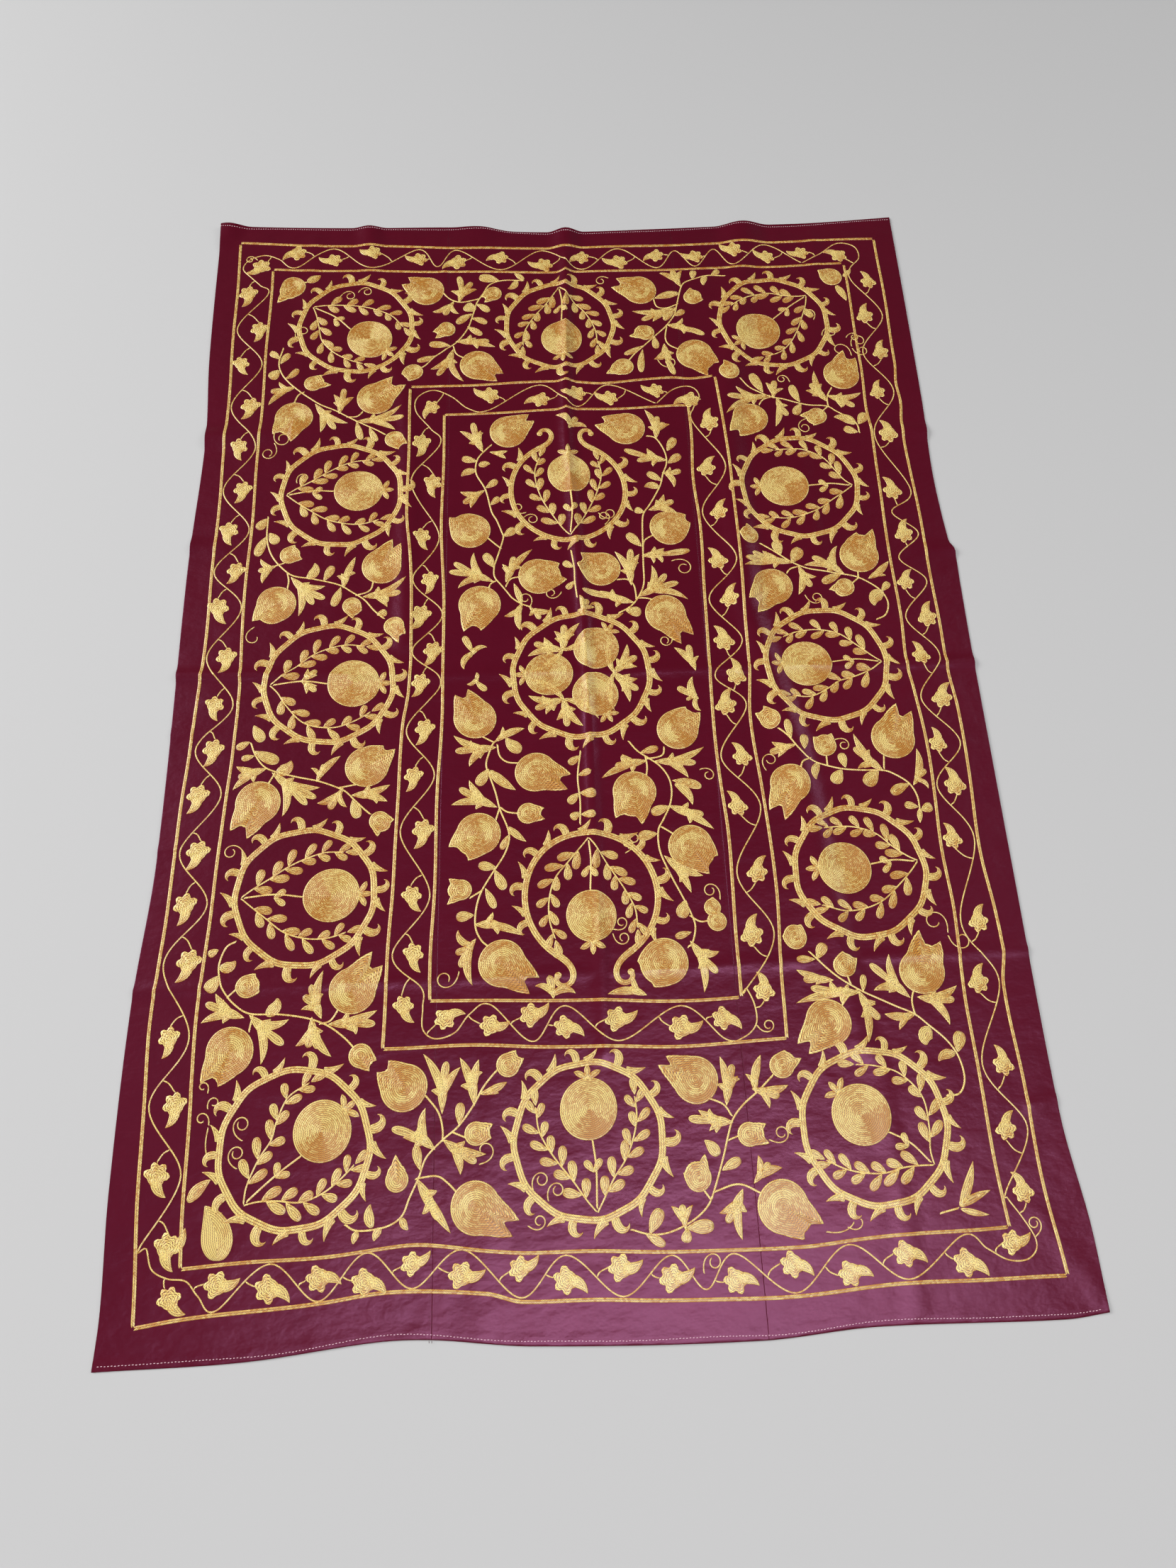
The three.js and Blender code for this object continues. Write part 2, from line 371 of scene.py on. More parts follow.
def threadMaterial(c):
    material, w, shader = newMaterial("goldThread")
    stitch = w.node("ShaderNodeUVMap", uv_map="stitch").outputs[0]
    tone = w.node("ShaderNodeAttribute", attribute_name="tone")
    tones = w.node("ShaderNodeSeparateColor", {0: tone.outputs["Color"]})
    chain = w.node("ShaderNodeGroup", node_tree=chainStitch)
    w.put(chain.inputs["Stitch"], stitch)
    place = w.node("ShaderNodeTexCoord").outputs["Object"]
    rub = w.node("ShaderNodeGroup", node_tree=wear)
    w.put(rub.inputs["Place"], place)
    rub.inputs["Size"].default_value = c["rubSize"]
    byLot = w.math("MULTIPLY", w.math("SUBTRACT", chain.outputs["Lot"], 0.5), c["lotShare"])
    byRub = w.math("MULTIPLY", w.math("SUBTRACT", rub.outputs["Mask"], 0.5), c["rubShare"])
    light = w.math("ADD", w.math("ADD", tones.outputs[0], byLot), byRub)
    thread = w.mix(light, c["ochre"], c["cream"])
    # painted shade: the thread is darkened towards the shade colour in the grooves between the strands
    shaded = w.mix(w.ramp(chain.outputs["Height"], *c["grooveShade"]), thread, c["shade"])
    # the eye of each loop shows the ground, painted darker as shade
    eye = w.math("MULTIPLY", chain.outputs["Eye"], c["eye"])
    w.put(shader.inputs["Base Color"], w.mix(eye, shaded, c["ground"]))
    shader.inputs["Roughness"].default_value = c["roughness"]
    shader.inputs["Specular IOR Level"].default_value = c["glare"]
    shader.inputs["Specular Tint"].default_value = c["glareTint"]
    shader.inputs["Coat Weight"].default_value = c["coat"]
    shader.inputs["Coat Roughness"].default_value = c["coatRoughness"]
    shader.inputs["Coat Tint"].default_value = c["coatTint"]
    bump = w.node("ShaderNodeBump", {"Height": chain.outputs["Height"], **c["stitchBump"]})
    w.put(shader.inputs["Normal"], bump.outputs[0])
    return material


sewingLook = {
    "pale": (0.88, 0.60, 0.66, 1),
    "dark": (0.085, 0.006, 0.013, 1),
    "plyShade": 0.7,  # share of the colour left between the plies, as painted shade
    "plyScale": (900.0, 2600.0, 900.0),
    "plyBump": {"Strength": 0.4, "Distance": 0.0002},
    "roughness": 0.7,
}


def sewingMaterial(name, colour, c):
    material, w, shader = newMaterial(name)
    place = w.node("ShaderNodeTexCoord").outputs["Object"]
    ply = w.noise(w.stretch(place, c["plyScale"]), 1.0, 2.0)
    # painted shade between the plies
    plyShade = tuple(c["plyShade"] * value for value in colour[:3]) + (1,)
    w.put(shader.inputs["Base Color"], w.mix(ply, plyShade, colour))
    shader.inputs["Roughness"].default_value = c["roughness"]
    bump = w.node("ShaderNodeBump", {"Height": ply, **c["plyBump"]})
    w.put(shader.inputs["Normal"], bump.outputs[0])
    return material


cotton = cottonMaterial(cottonLook)
goldThread = threadMaterial(threadLook)
hemThread = sewingMaterial("paleSewingThread", sewingLook["pale"], sewingLook)
seamThread = sewingMaterial("darkSewingThread", sewingLook["dark"], sewingLook)
print("materials made")


# The ground cloth: one closed sheet for each loom width.
def lines(length, pitch, near):
    # even steps of about the pitch, with finer ones at both ends
    near = np.array(near, float)
    middle = np.linspace(near[-1], length - near[-1], int((length - 2 * near[-1]) / pitch) + 1)
    return np.unique(np.concatenate([near, middle, length - near])) / length


def edgeDrop(away, reach, depth):
    # a rolled edge: depth * (1 - away / reach) squared
    return depth * np.clip(1 - away / reach, 0, 1) ** 2


def panelSheet(name, node, leftSide, rightSide, leftGap, rightGap, c):
    # a closed sheet over two parameters: x runs between its two sides and y between the cloth's
    # bottom and top edges, found in three rounds; the top face is higher by the thickness
    leftX = lambda y: follow(outline[leftSide], y) + leftGap
    rightX = lambda y: follow(outline[rightSide], y) - rightGap
    zero = np.zeros(1)
    width = (rightX(zero) - leftX(zero))[0]
    length = (follow(outline["top"], zero) - follow(outline["bottom"], zero))[0]
    across = lines(width, c["pitch"], [0, 0.6, 1.6, 3.2, c["seamRoll"] + 1])
    hem = [0, 0.5, 1.4, 4, 7, 10, c["hemDepth"] - 0.4, c["hemDepth"] + c["hemStep"]]
    along = lines(length, c["pitch"], hem)
    u, v = np.meshgrid(across, along)
    x = leftX(zero) + u * width
    for _ in range(3):
        y = follow(outline["bottom"], x) * (1 - v) + follow(outline["top"], x) * v
        x = leftX(y) * (1 - u) + rightX(y) * u
    toSide = np.minimum(u, 1 - u) * width
    toHem = np.minimum(v, 1 - v) * length
    inHem = np.clip((c["hemDepth"] + c["hemStep"] - toHem) / c["hemStep"], 0, 1)
    thick = c["thickness"] + c["hemThickness"] * inHem
    drop = edgeDrop(toSide, c["seamRoll"], c["seamDip"]) + edgeDrop(toHem, 1.6, c["thickness"] * 0.5)
    low = riseAt(x, y)
    rows, columns = x.shape
    top = np.stack([x, y, low + thick - drop], -1).reshape(-1, 3)
    under = np.stack([x, y, low + 0.35 * edgeDrop(toSide, c["seamRoll"], 1)], -1).reshape(-1, 3)
    at = np.arange(rows * columns).reshape(rows, columns)
    deck = np.stack([at[:-1, :-1], at[:-1, 1:], at[1:, 1:], at[1:, :-1]], -1).reshape(-1, 4)
    rim = np.concatenate([at[0, :], at[1:, -1], at[-1, -2::-1], at[-2:0:-1, 0]])
    nextRim = np.roll(rim, -1)
    lower = rows * columns
    side = np.stack([rim + lower, nextRim + lower, nextRim, rim], -1)
    faces = np.concatenate([deck, deck[:, ::-1] + lower, side])
    piece = meshFrom(name, np.concatenate([top, under]), faces, cotton)
    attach(piece, "root")
    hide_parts(node)
    return piece


floorLook = {"half": 12.0, "height": -0.0004, "colour": (0.49, 0.49, 0.49, 1), "roughness": 0.9}


def addFloor(f):
    half, low = f["half"], f["height"]
    corners = np.array([(-half, -half, low), (half, -half, low), (half, half, low), (-half, half, low)])
    material, _, shader = newMaterial("paleFloor")
    shader.inputs["Roughness"].default_value = f["roughness"]
    shader.inputs["Base Color"].default_value = f["colour"]
    floor = meshFrom("floor", corners / mm, np.array([[0, 1, 2, 3]]), material)


addFloor(floorLook)
halfGap = cloth["seamGap"] / 2
panelSheet("clothLeft", "panel_left", "left", "leftSeam", 0, halfGap, cloth)
panelSheet("clothCentre", "panel_centre", "leftSeam", "rightSeam", halfGap, halfGap, cloth)
panelSheet("clothRight", "panel_right", "rightSeam", "right", halfGap, 0, cloth)
print("ground cloth made")

# The embroidery.
thread = {
    "row": 2.8,  # between two rows of stitches
    "stitch": 3.7,  # length of a loop
    "ridge": 0.85,  # height of a row over the groove beside it
    "groove": 0.35,  # height of the groove over the cloth
    "sunk": -0.55,  # the outline, under the cloth's face
    "step": 4.2,  # of the mesh, along an outline
    "lie": 118,  # heading of the thread with the most painted sheen, in degrees
    "gain": 0.22,  # how much painted sheen or painted shade a thread's heading gives it
    "bright": 0.2,  # the same painted sheen or shade for the side that a row is on, by how it faces the light
}
rng = np.random.default_rng(7)


def handDrift(x, y):
    # slow drift of a hand-drawn pattern: each way 0.9 mm of a long sine and 0.5 mm of a short one
    return (x + 0.9 * np.sin(y / 41 + x / 97) + 0.5 * np.sin(x / 23 + 2),
            y + 0.9 * np.sin(x / 37 - y / 113 + 1) + 0.5 * np.sin(y / 19))


class Patch:
    # gathers the motifs of one piece: points, faces, stitch coordinates and tones
    def __init__(self):
        self.points, self.faces, self.uv, self.tones = [], [], [], []
        self.count = 0

    def add(self, x, y, lift, index, uOfFace, v, tone, wrap=False):
        # a grid of points; index folds points that fall together, uOfFace(row) gives the columns' u
        rows, columns = x.shape
        self.points.append(np.stack([x, y, lift], -1).reshape(-1, 3))
        # red holds the tone; green holds one number drawn for each motif, which no material reads
        level = np.full((rows * columns, 4), (0, rng.random(), 0, 1))
        level[:, 0] = np.broadcast_to(tone, x.shape).ravel()
        self.tones.append(level)
        i0 = np.arange(rows if wrap else rows - 1)[:, None]
        j0 = np.arange(columns - 1)[None, :]
        i1 = (i0 + 1) % rows
        corners = [(i0, j0), (i1, j0), (i1, j0 + 1), (i0, j0 + 1)]
        quad = np.stack([index[i, j] + 0 * (i0 + j0) for i, j in corners], -1)
        steps = [i0, i0 + 1, i0 + 1, i0]
        us = np.stack([uOfFace(step, j0) for step in steps], -1)
        vs = np.stack([v[i, j] + 0.0 * (i0 + j0) for i, j in corners], -1)
        for pick in ((0, 1, 2), (0, 2, 3)):
            face = quad[..., pick].reshape(-1, 3)
            uv = np.stack([us[..., pick], vs[..., pick]], -1).reshape(-1, 3, 2)
            whole = (face[:, 0] != face[:, 1]) & (face[:, 1] != face[:, 2]) & (face[:, 0] != face[:, 2])
            self.faces.append(face[whole] + self.count)
            self.uv.append(uv[whole])
        self.count += rows * columns

    def piece(self, name, material=None, slot="gold_thread"):
        points = np.concatenate(self.points)
        faces = np.concatenate(self.faces)
        uv = np.concatenate(self.uv)
        tones = np.concatenate(self.tones)
        x, y = handDrift(points[:, 0], points[:, 1])
        points = np.stack([x, y, points[:, 2] + riseAt(x, y) + cloth["thickness"]], -1)
        a, b, c = points[faces[:, 0]], points[faces[:, 1]], points[faces[:, 2]]
        turned = (b[:, 0] - a[:, 0]) * (c[:, 1] - a[:, 1]) - (b[:, 1] - a[:, 1]) * (c[:, 0] - a[:, 0])
        flat = np.abs(turned) < 1e-4
        back = turned < 0
        faces[back] = faces[back][:, ::-1]
        uv[back] = uv[back][:, ::-1]
        faces, uv = faces[~flat], uv[~flat]
        used, packed = np.unique(faces, return_inverse=True)
        piece = meshFrom(name, points[used], packed.reshape(-1, 3), material or goldThread,
                         uv.reshape(-1, 2), tones[used])
        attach(piece, "root")
        print(name, len(faces), "triangles")
        return piece


def relief(q, base=0.0):
    # rows of stitches: groove + ridge * sin(pi * q) squared; sunk into the ground at the outline
    body = thread["groove"] + thread["ridge"] * np.sin(np.pi * q) ** 2
    return base + np.where(q <= 1e-6, thread["sunk"], body)


def paintedSheen(heading):
    # painted sheen: thread that lies across the light is painted paler: gain * cos(2 * (heading - lie))
    return thread["gain"] * np.cos(2 * (heading - np.radians(thread["lie"])))


def sheen(outX, outY):
    # rows on the side that faces the light are paler: bright * (outward way . light's way)
    return thread["bright"] * (0.55 * outY - 0.83 * outX)


def curve(points, step):
    # a smooth curve through given points: Catmull-Rom cubics, then even steps along it
    p = np.array(points, float)
    p = np.concatenate([[2 * p[0] - p[1]], p, [2 * p[-1] - p[-2]]])
    t = np.linspace(0, 1, 12, endpoint=False)[:, None]
    runs = []
    for i in range(1, len(p) - 2):
        a, b, c, d = p[i - 1], p[i], p[i + 1], p[i + 2]
        square = 2 * a - 5 * b + 4 * c - d
        cube = 3 * b - a - 3 * c + d
        runs.append(0.5 * (2 * b + (c - a) * t + square * t ** 2 + cube * t ** 3))
    runs.append(p[-2:-1])
    return evenly(np.concatenate(runs), step)


def distances(path):
    # from the path's start to each of its points, summed along its straight pieces
    return np.concatenate([[0], np.cumsum(np.hypot(*np.diff(path, axis=0).T))])


def evenly(path, step):
    # the same path with its points at even distances of about the step
    s = distances(path)
    count = max(int(round(s[-1] / step)), 2)
    at = np.linspace(0, s[-1], count + 1)
    return np.stack([np.interp(at, s, path[:, 0]), np.interp(at, s, path[:, 1])], -1)


def frameOf(path):
    # distance along the path, and its normal: the tangent turned left by a quarter turn
    tangent = np.gradient(path, axis=0)
    tangent /= np.maximum(np.hypot(*tangent.T), 1e-9)[:, None]
    return distances(path), np.stack([-tangent[:, 1], tangent[:, 0]], -1)


def ribbon(patch, path, width, tone, rowsAcross=1, closed=False, base=0.0):
    # a line of whole rows: q runs evenly from 0 to the number of rows across the width
    s, normal = frameOf(path)
    if closed:
        tangent = np.roll(path, -1, axis=0) - np.roll(path, 1, axis=0)
        tangent /= np.hypot(*tangent.T)[:, None]
        normal = np.stack([-tangent[:, 1], tangent[:, 0]], -1)
    q = np.linspace(0, rowsAcross, 2 * rowsAcross + 1)
    off = (q / rowsAcross - 0.5) * width
    x = path[:, :1] + normal[:, :1] * off
    y = path[:, 1:] + normal[:, 1:] * off
    v = np.broadcast_to(q, x.shape)
    lift = relief(v, base).copy()
    lift[:, -1] = thread["sunk"] + base
    if not closed:
        lift[[0, -1]] = thread["sunk"] + base
    index = np.arange(x.size).reshape(x.shape)
    full = s[-1] + (np.hypot(*(path[0] - path[-1])) if closed else 0)
    count = max(round(full / thread["stitch"]), 1)
    share = np.append(s, full) / full * count
    # painted sheen by the heading of the rows
    lie = paintedSheen(np.arctan2(-normal[:, :1], normal[:, 1:]))
    patch.add(x, y, lift, index, lambda i, j: share[i] + 0.0 * j, v, tone + lie, wrap=closed)


def stroke(patch, path, half, tone, base=0.0):
    # a leaf along a spine: rows keep their distance q * row from the outline and end on the spine;
    # the outline is painted deeper in tone, as shade along its sunk edge, by 0.34 * exp(-(q / 0.7) squared)
    s, normal = frameOf(path)
    m = half / thread["row"]
    levels = int(np.ceil(2 * m.max())) + 1
    j = np.arange(2 * levels + 1)
    level = 0.5 * np.minimum(j, 2 * levels - j)
    q = np.minimum(level[None, :], m[:, None])
    sign = np.sign(j - levels)
    off = sign * (half[:, None] - q * thread["row"])
    x = path[:, :1] + normal[:, :1] * off
    y = path[:, 1:] + normal[:, 1:] * off
    plain = np.arange(x.size).reshape(x.shape)
    index = np.where(level[None, :] >= m[:, None], plain[:, levels:levels + 1], plain)
    q = np.where(level[None, :] >= m[:, None], m[:, None], q)
    lift = relief(q, base)
    share = s / s[-1] * max(round(s[-1] / thread["stitch"]), 1)
    # painted sheen by heading and by the side that faces the light, and painted shade along the outline
    lie = paintedSheen(np.arctan2(-normal[:, :1], normal[:, 1:])) + sheen(sign * normal[:, :1], sign * normal[:, 1:])
    lie = lie + 0.08 - 0.34 * np.exp(-((q / 0.7) ** 2))
    patch.add(x, y, lift, index, lambda i, k: share[np.minimum(i, len(share) - 1)] + 0.0 * k, q, tone + lie)


def blob(patch, centre, radius, tone, bumps=(), squash=1.0, turn=0.0, base=0.0, sector=None, rim=0.0):
    # a fruit filled in rings: each ring keeps radius * (1 - q / m) and fades the bumps with its
    # power 1.6; a bump is height * (1 - away / width) to a power, with a width on each side, its
    # sine if the power is under 1, and the tallest bump counts
    m = max(round(radius / thread["row"]), 2)
    outer = 2 * np.pi * radius
    even = np.linspace(0, 2 * np.pi, max(int(outer / thread["step"]), 30 + 3 * len(bumps)), endpoint=False)
    tips = np.radians([bump[0] for bump in bumps]) % (2 * np.pi)
    angle = np.unique(np.round(np.concatenate([even, tips, (tips + 0.06) % 6.28, (tips - 0.06) % 6.28]), 3))
    count = len(angle)
    bump = np.zeros(count)
    for at, height, before, after, power in bumps:
        away = np.degrees((angle - np.radians(at) + np.pi) % (2 * np.pi) - np.pi)
        share = np.clip(1 - np.abs(away) / np.where(away < 0, before, after), 0, 1)
        share = np.sin(np.pi / 2 * share) if power < 1 else share
        bump = np.maximum(bump, height * share ** power)
    q = np.linspace(0, m, 2 * m + 1)
    left = 1 - q / m
    r = radius * left[None, :] + bump[:, None] * left[None, :] ** 1.6
    turned = np.radians(turn)
    lx, ly = r * np.cos(angle)[:, None], r * squash * np.sin(angle)[:, None]
    x = centre[0] + lx * np.cos(turned) - ly * np.sin(turned)
    y = centre[1] + lx * np.sin(turned) + ly * np.cos(turned)
    plain = np.arange(x.size).reshape(x.shape)
    index = plain.copy()
    index[:, -1] = plain[0, -1]
    v = np.broadcast_to(q, x.shape)
    lift = relief(v, base)
    counts = np.maximum(np.round(outer * (1 - (np.floor(q) + 0.5) / m) / thread["stitch"]), 3)
    start = len(patch.tones)
    around = np.append(angle, angle[0] + 2 * np.pi) / (2 * np.pi)
    # painted sheen: by the rows' heading, and paler on the side that faces the light, fading towards the
    # centre
    facing = left[None, :] * sheen(np.cos(angle + turned), np.sin(angle + turned))[:, None]
    lie = paintedSheen(angle + turned + np.pi / 2)[:, None] + facing
    uOfFace = lambda i, j: around[i] * counts[np.minimum(j, 2 * m - 1)]
    patch.add(x, y, lift, index, uOfFace, v, tone + lie, wrap=True)
    if sector is not None:  # a sector painted paler as sheen when the gain is above zero, darker as shade when it is below; its rows end here and there along the edge
        way, spread, gain, fromCentre, toCentre = sector
        away = np.abs((angle + turned - np.radians(way) + np.pi) % (2 * np.pi) - np.pi) / np.radians(spread)
        edge = 5 * (1 - away[:, None] + 0.1 * np.sin(2.6 * q)[None, :])
        ringed = (left <= toCentre) & (left >= fromCentre)
        patch.tones[start][:, 0] += gain * (np.clip(edge, 0, 1) * ringed[None, :]).ravel()
    if rim:  # the first row is worked in a paler thread
        patch.tones[start].reshape(count, 2 * m + 1, 4)[:, :2, 0] += rim


def walk(start, heading, length):
    # a path of even steps, each along the mean of the headings at its two ends
    mid = (heading[1:] + heading[:-1]) / 2
    run = length / len(mid)
    x = start[0] + np.concatenate([[0], np.cumsum(np.cos(mid) * run)])
    y = start[1] + np.concatenate([[0], np.cumsum(np.sin(mid) * run)])
    return np.stack([x, y], -1)


def arcSpine(start, angle, length, bend, step=3.4, late=1.0):
    # a spine whose heading turns by bend * t to the power late, t along its length
    count = max(int(round(length / step)), 5)
    t = np.linspace(0, 1, count + 1)
    return walk(start, np.radians(angle + bend * t ** late), length), t


def drop(patch, at, angle, length, width, bend=0.0, tone=0.8, base=0.0, fat=0.64):
    # teardrop: half width rises as a sine to the power 0.9 up to fat of its length, then falls as
    # a quarter ellipse, so it is pointed where it starts and round at its end
    path, t = arcSpine(at, angle, length, bend)
    half = width / 2 * np.where(t < fat, np.sin(np.pi / 2 * t / fat) ** 0.9,
                                np.sqrt(np.clip(1 - ((t - fat) / (1 - fat)) ** 2, 0, 1)))
    stroke(patch, path, half, tone, base)


def blade(patch, at, angle, length, width, bend=0.0, tone=0.8, base=0.0, root=0.25, fat=0.35):
    # pointed leaf: half width rises as a sine from the root's share up to fat of its length, then
    # falls as a cosine to the power 0.85
    path, t = arcSpine(at, angle, length, bend)
    rising = root + (1 - root) * np.sin(np.pi / 2 * t / fat)
    falling = np.cos(np.pi / 2 * (t - fat) / (1 - fat)) ** 0.85
    half = width / 2 * np.where(t < fat, rising, falling)
    half[0] = 0
    stroke(patch, path, half, tone, base)


tendrilLook = {"width": 2.7, "tone": 0.75, "step": 2.6}
stemLook = {"width": 3.7, "tone": 0.95, "step": 3.7, "lift": 0.1}


def tendril(patch, at, angle, length, turns):
    # a coiling line: heading = angle + 360 * turns * t to the power 1.7, t along the length
    count = max(int(length / tendrilLook["step"]), 12)
    t = np.linspace(0, 1, count + 1)
    heading = np.radians(angle) + 2 * np.pi * turns * t ** 1.7
    ribbon(patch, walk(at, heading, length), tendrilLook["width"], tendrilLook["tone"])


def stem(patch, points):
    # one row along a smooth curve
    path = curve(points, stemLook["step"])
    ribbon(patch, path, stemLook["width"], stemLook["tone"], base=stemLook["lift"])


def polar(centre, angle, radius):
    # the point at an angle, in degrees, and a radius from the centre
    a = np.radians(angle)
    return np.array([centre[0] + radius * np.cos(a), centre[1] + radius * np.sin(a)])


def towards(start, end, bend):
    # heading and length of an arc that joins two points while it turns by bend
    dx, dy = end[0] - start[0], end[1] - start[1]
    half = np.radians(bend) / 2
    stretch = half / np.sin(half) if abs(half) > 1e-3 else 1.0
    return np.degrees(np.arctan2(dy, dx)) - bend / 2, np.hypot(dx, dy) * stretch


def dropTo(patch, start, end, width, bend, tone, base=0.0, fat=0.64):
    # a teardrop on the arc between two points
    angle, length = towards(start, end, bend)
    drop(patch, start, angle, length, width, bend, tone, base, fat)


def bladeTo(patch, start, end, width, bend, tone, base=0.0, root=0.3, fat=0.4):
    # a pointed leaf on the arc between two points
    angle, length = towards(start, end, bend)
    blade(patch, start, angle, length, width, bend, tone, base, root, fat)


handLook = {
    # sizes in brackets are a share of a length, the least and the most
    "palm": (0.31, 8, 15.5),
    "blade": (0.36, 8, 13.5),
    "lobe": (0.42, 8, 13),
    "lowLobe": (0.23, 6, 11),
    "claw": (0.22, 8, 10.5),
    "clawReach": (0.42, 13, 20),
    "clawsFrom": 44,
    "sink": 4,  # how far it starts before its place, under the stem
    "root": 0.34,
    "curl": (1.7, 105),  # bend for each degree away from the middle, and the most
}


def sized(length, rule):
    # a share of a length, kept between the least and the most
    share, least, most = rule
    return np.clip(share * length, least, most)


def hand(patch, start, tips, tone, look=handLook):
    # a lobed leaf: a palm, a curling blade out to each outer tip, round lobes out to the others,
    # one low lobe between two neighbours and, on a large leaf, a claw on each side
    start, tips = np.array(start, float), np.array(tips, float)
    middle = tips.mean(0) - start
    reach = np.hypot(*middle)
    start = start - look["sink"] * middle / reach
    dropTo(patch, start, start + 0.8 * middle, sized(reach, look["palm"]), 0, tone, fat=0.6)
    heading = np.degrees(np.arctan2(middle[1], middle[0]))
    away = np.degrees(np.arctan2(tips[:, 1] - start[1], tips[:, 0] - start[0])) - heading
    away = (away + 180) % 360 - 180
    order = np.argsort(away)
    root = start + look["root"] * middle
    curl, most = look["curl"]
    for k in order:
        span = np.hypot(*(tips[k] - root))
        bend = np.clip(curl * away[k], -most, most)
        shade = tone + 0.1 * np.sin(5 * k + tips[k, 0])
        lift = 0.05 * k
        if k in (order[0], order[-1]):
            bladeTo(patch, root, tips[k], sized(span, look["blade"]), bend, shade, 0.2 + lift, 0.65, 0.42)
        else:
            dropTo(patch, root, tips[k], sized(span, look["lobe"]), bend, shade, 0.12 + lift, 0.74)
    for side, share in ((1, 0.34), (-1, 0.56)) if reach > look["clawsFrom"] else ():
        at = start + share * middle
        tip = polar(at, heading + 62 * side, sized(reach, look["clawReach"]))
        bladeTo(patch, at, tip, sized(reach, look["claw"]), 70 * side, tone - 0.06, 0.05, 0.6, 0.42)
    for a, b in zip(order[:-1], order[1:]):
        lobe = root + 0.54 * ((tips[a] + tips[b]) / 2 - root)
        dropTo(patch, root, lobe, sized(reach, look["lowLobe"]), 0, tone - 0.08, 0.05, 0.7)


fruitLook = {
    "tone": 0.25,
    "budTone": 0.42,
    "mouthSide": (12, 150),  # a calyx point's slope towards the mouth: degrees, and mm over the radius
    "outerSide": 40,
    "lonePoint": 34,
    "pale": (150, 70, 0.75, 0.34, 0.62),  # painted sheen side: way from the mouth, spread, gain, from and to centre
    "rim": 0.55,
    "lift": 0.25,
}


def fruit(patch, x, y, radius, beak, tone, look=fruitLook):
    # a pomegranate: calyx points with a steep side towards the mouth and a long shoulder outside,
    # a pale outline and a side painted paler as sheen
    tips = [(np.degrees(np.arctan2(ty - y, tx - x)), np.hypot(tx - x, ty - y) - radius) for tx, ty in beak]
    lean = tips[0][0] + ((tips[-1][0] - tips[0][0] + 180) % 360 - 180) / 2 if tips else 0
    bumps = []
    for way, height in tips:
        side = (way - lean + 180) % 360 - 180
        inner = look["mouthSide"][0] + look["mouthSide"][1] / radius if abs(side) > 1 else look["lonePoint"]
        outer = look["outerSide"] if abs(side) > 1 else look["lonePoint"]
        bumps.append((way, height, *((inner, outer) if side > 0 else (outer, inner)), 1.6))
    if tips:
        bumps.append((lean, 0.3 * max(tip[1] for tip in tips), 52, 52, 0.8))
    turn, *rest = look["pale"]
    blob(patch, (x, y), radius, tone, bumps, base=look["lift"], sector=(lean + turn, *rest), rim=look["rim"])


# Ring medallions.
ringLook = {
    "band": 10.8,
    "rows": 3,
    "tone": 0.6,
    "hook": 35,  # length of a wave
    "thorn": 31,  # length of a flame
    "pairs": 11,
    "lean": 1,
    "clear": 12,  # degrees without waves beside an opening
    "endHalf": 5.8,  # half width of a rolled end
    "knob": 5.5,
}
hookLook = {"sink": 3, "lean": 14, "turn": 196, "step": 2.2, "late": 1.75, "lift": 0.12}
thornLook = {"sink": 3, "lean": 66, "turn": 34, "step": 2.6, "width": 0.24, "foot": 0.3, "lift": 0.1}


def hook(patch, centre, angle, radius, lean, size, tone, look=hookLook):
    # a wave with a broad foot, a fuller head that rolls over, and a point: half width =
    # size * (0.13 + 0.075 * sine of (pi * t to the power 0.8)) * (1 - t to the power 2.2), and that
    # last bracket is taken to the power 0.9
    at = polar(centre, angle, radius - look["sink"])
    path, t = arcSpine(at, angle - look["lean"] * lean, size, look["turn"] * lean, look["step"], look["late"])
    half = size * (0.13 + 0.075 * np.sin(np.pi * t ** 0.8)) * (1 - t ** 2.2) ** 0.9
    half[0] = 0
    stroke(patch, path, half, tone, look["lift"])


def thorn(patch, centre, angle, radius, lean, size, tone, look=thornLook):
    # a flame that lies along the ring and lifts its tip: half width = size * width * (1 - t) to
    # the power 0.75
    at = polar(centre, angle, radius - look["sink"])
    path, t = arcSpine(at, angle + look["lean"] * lean, size, -look["turn"] * lean, look["step"])
    half = size * look["width"] * (1 - t) ** 0.75
    half[0] *= look["foot"]
    stroke(patch, path, half, tone, look["lift"])


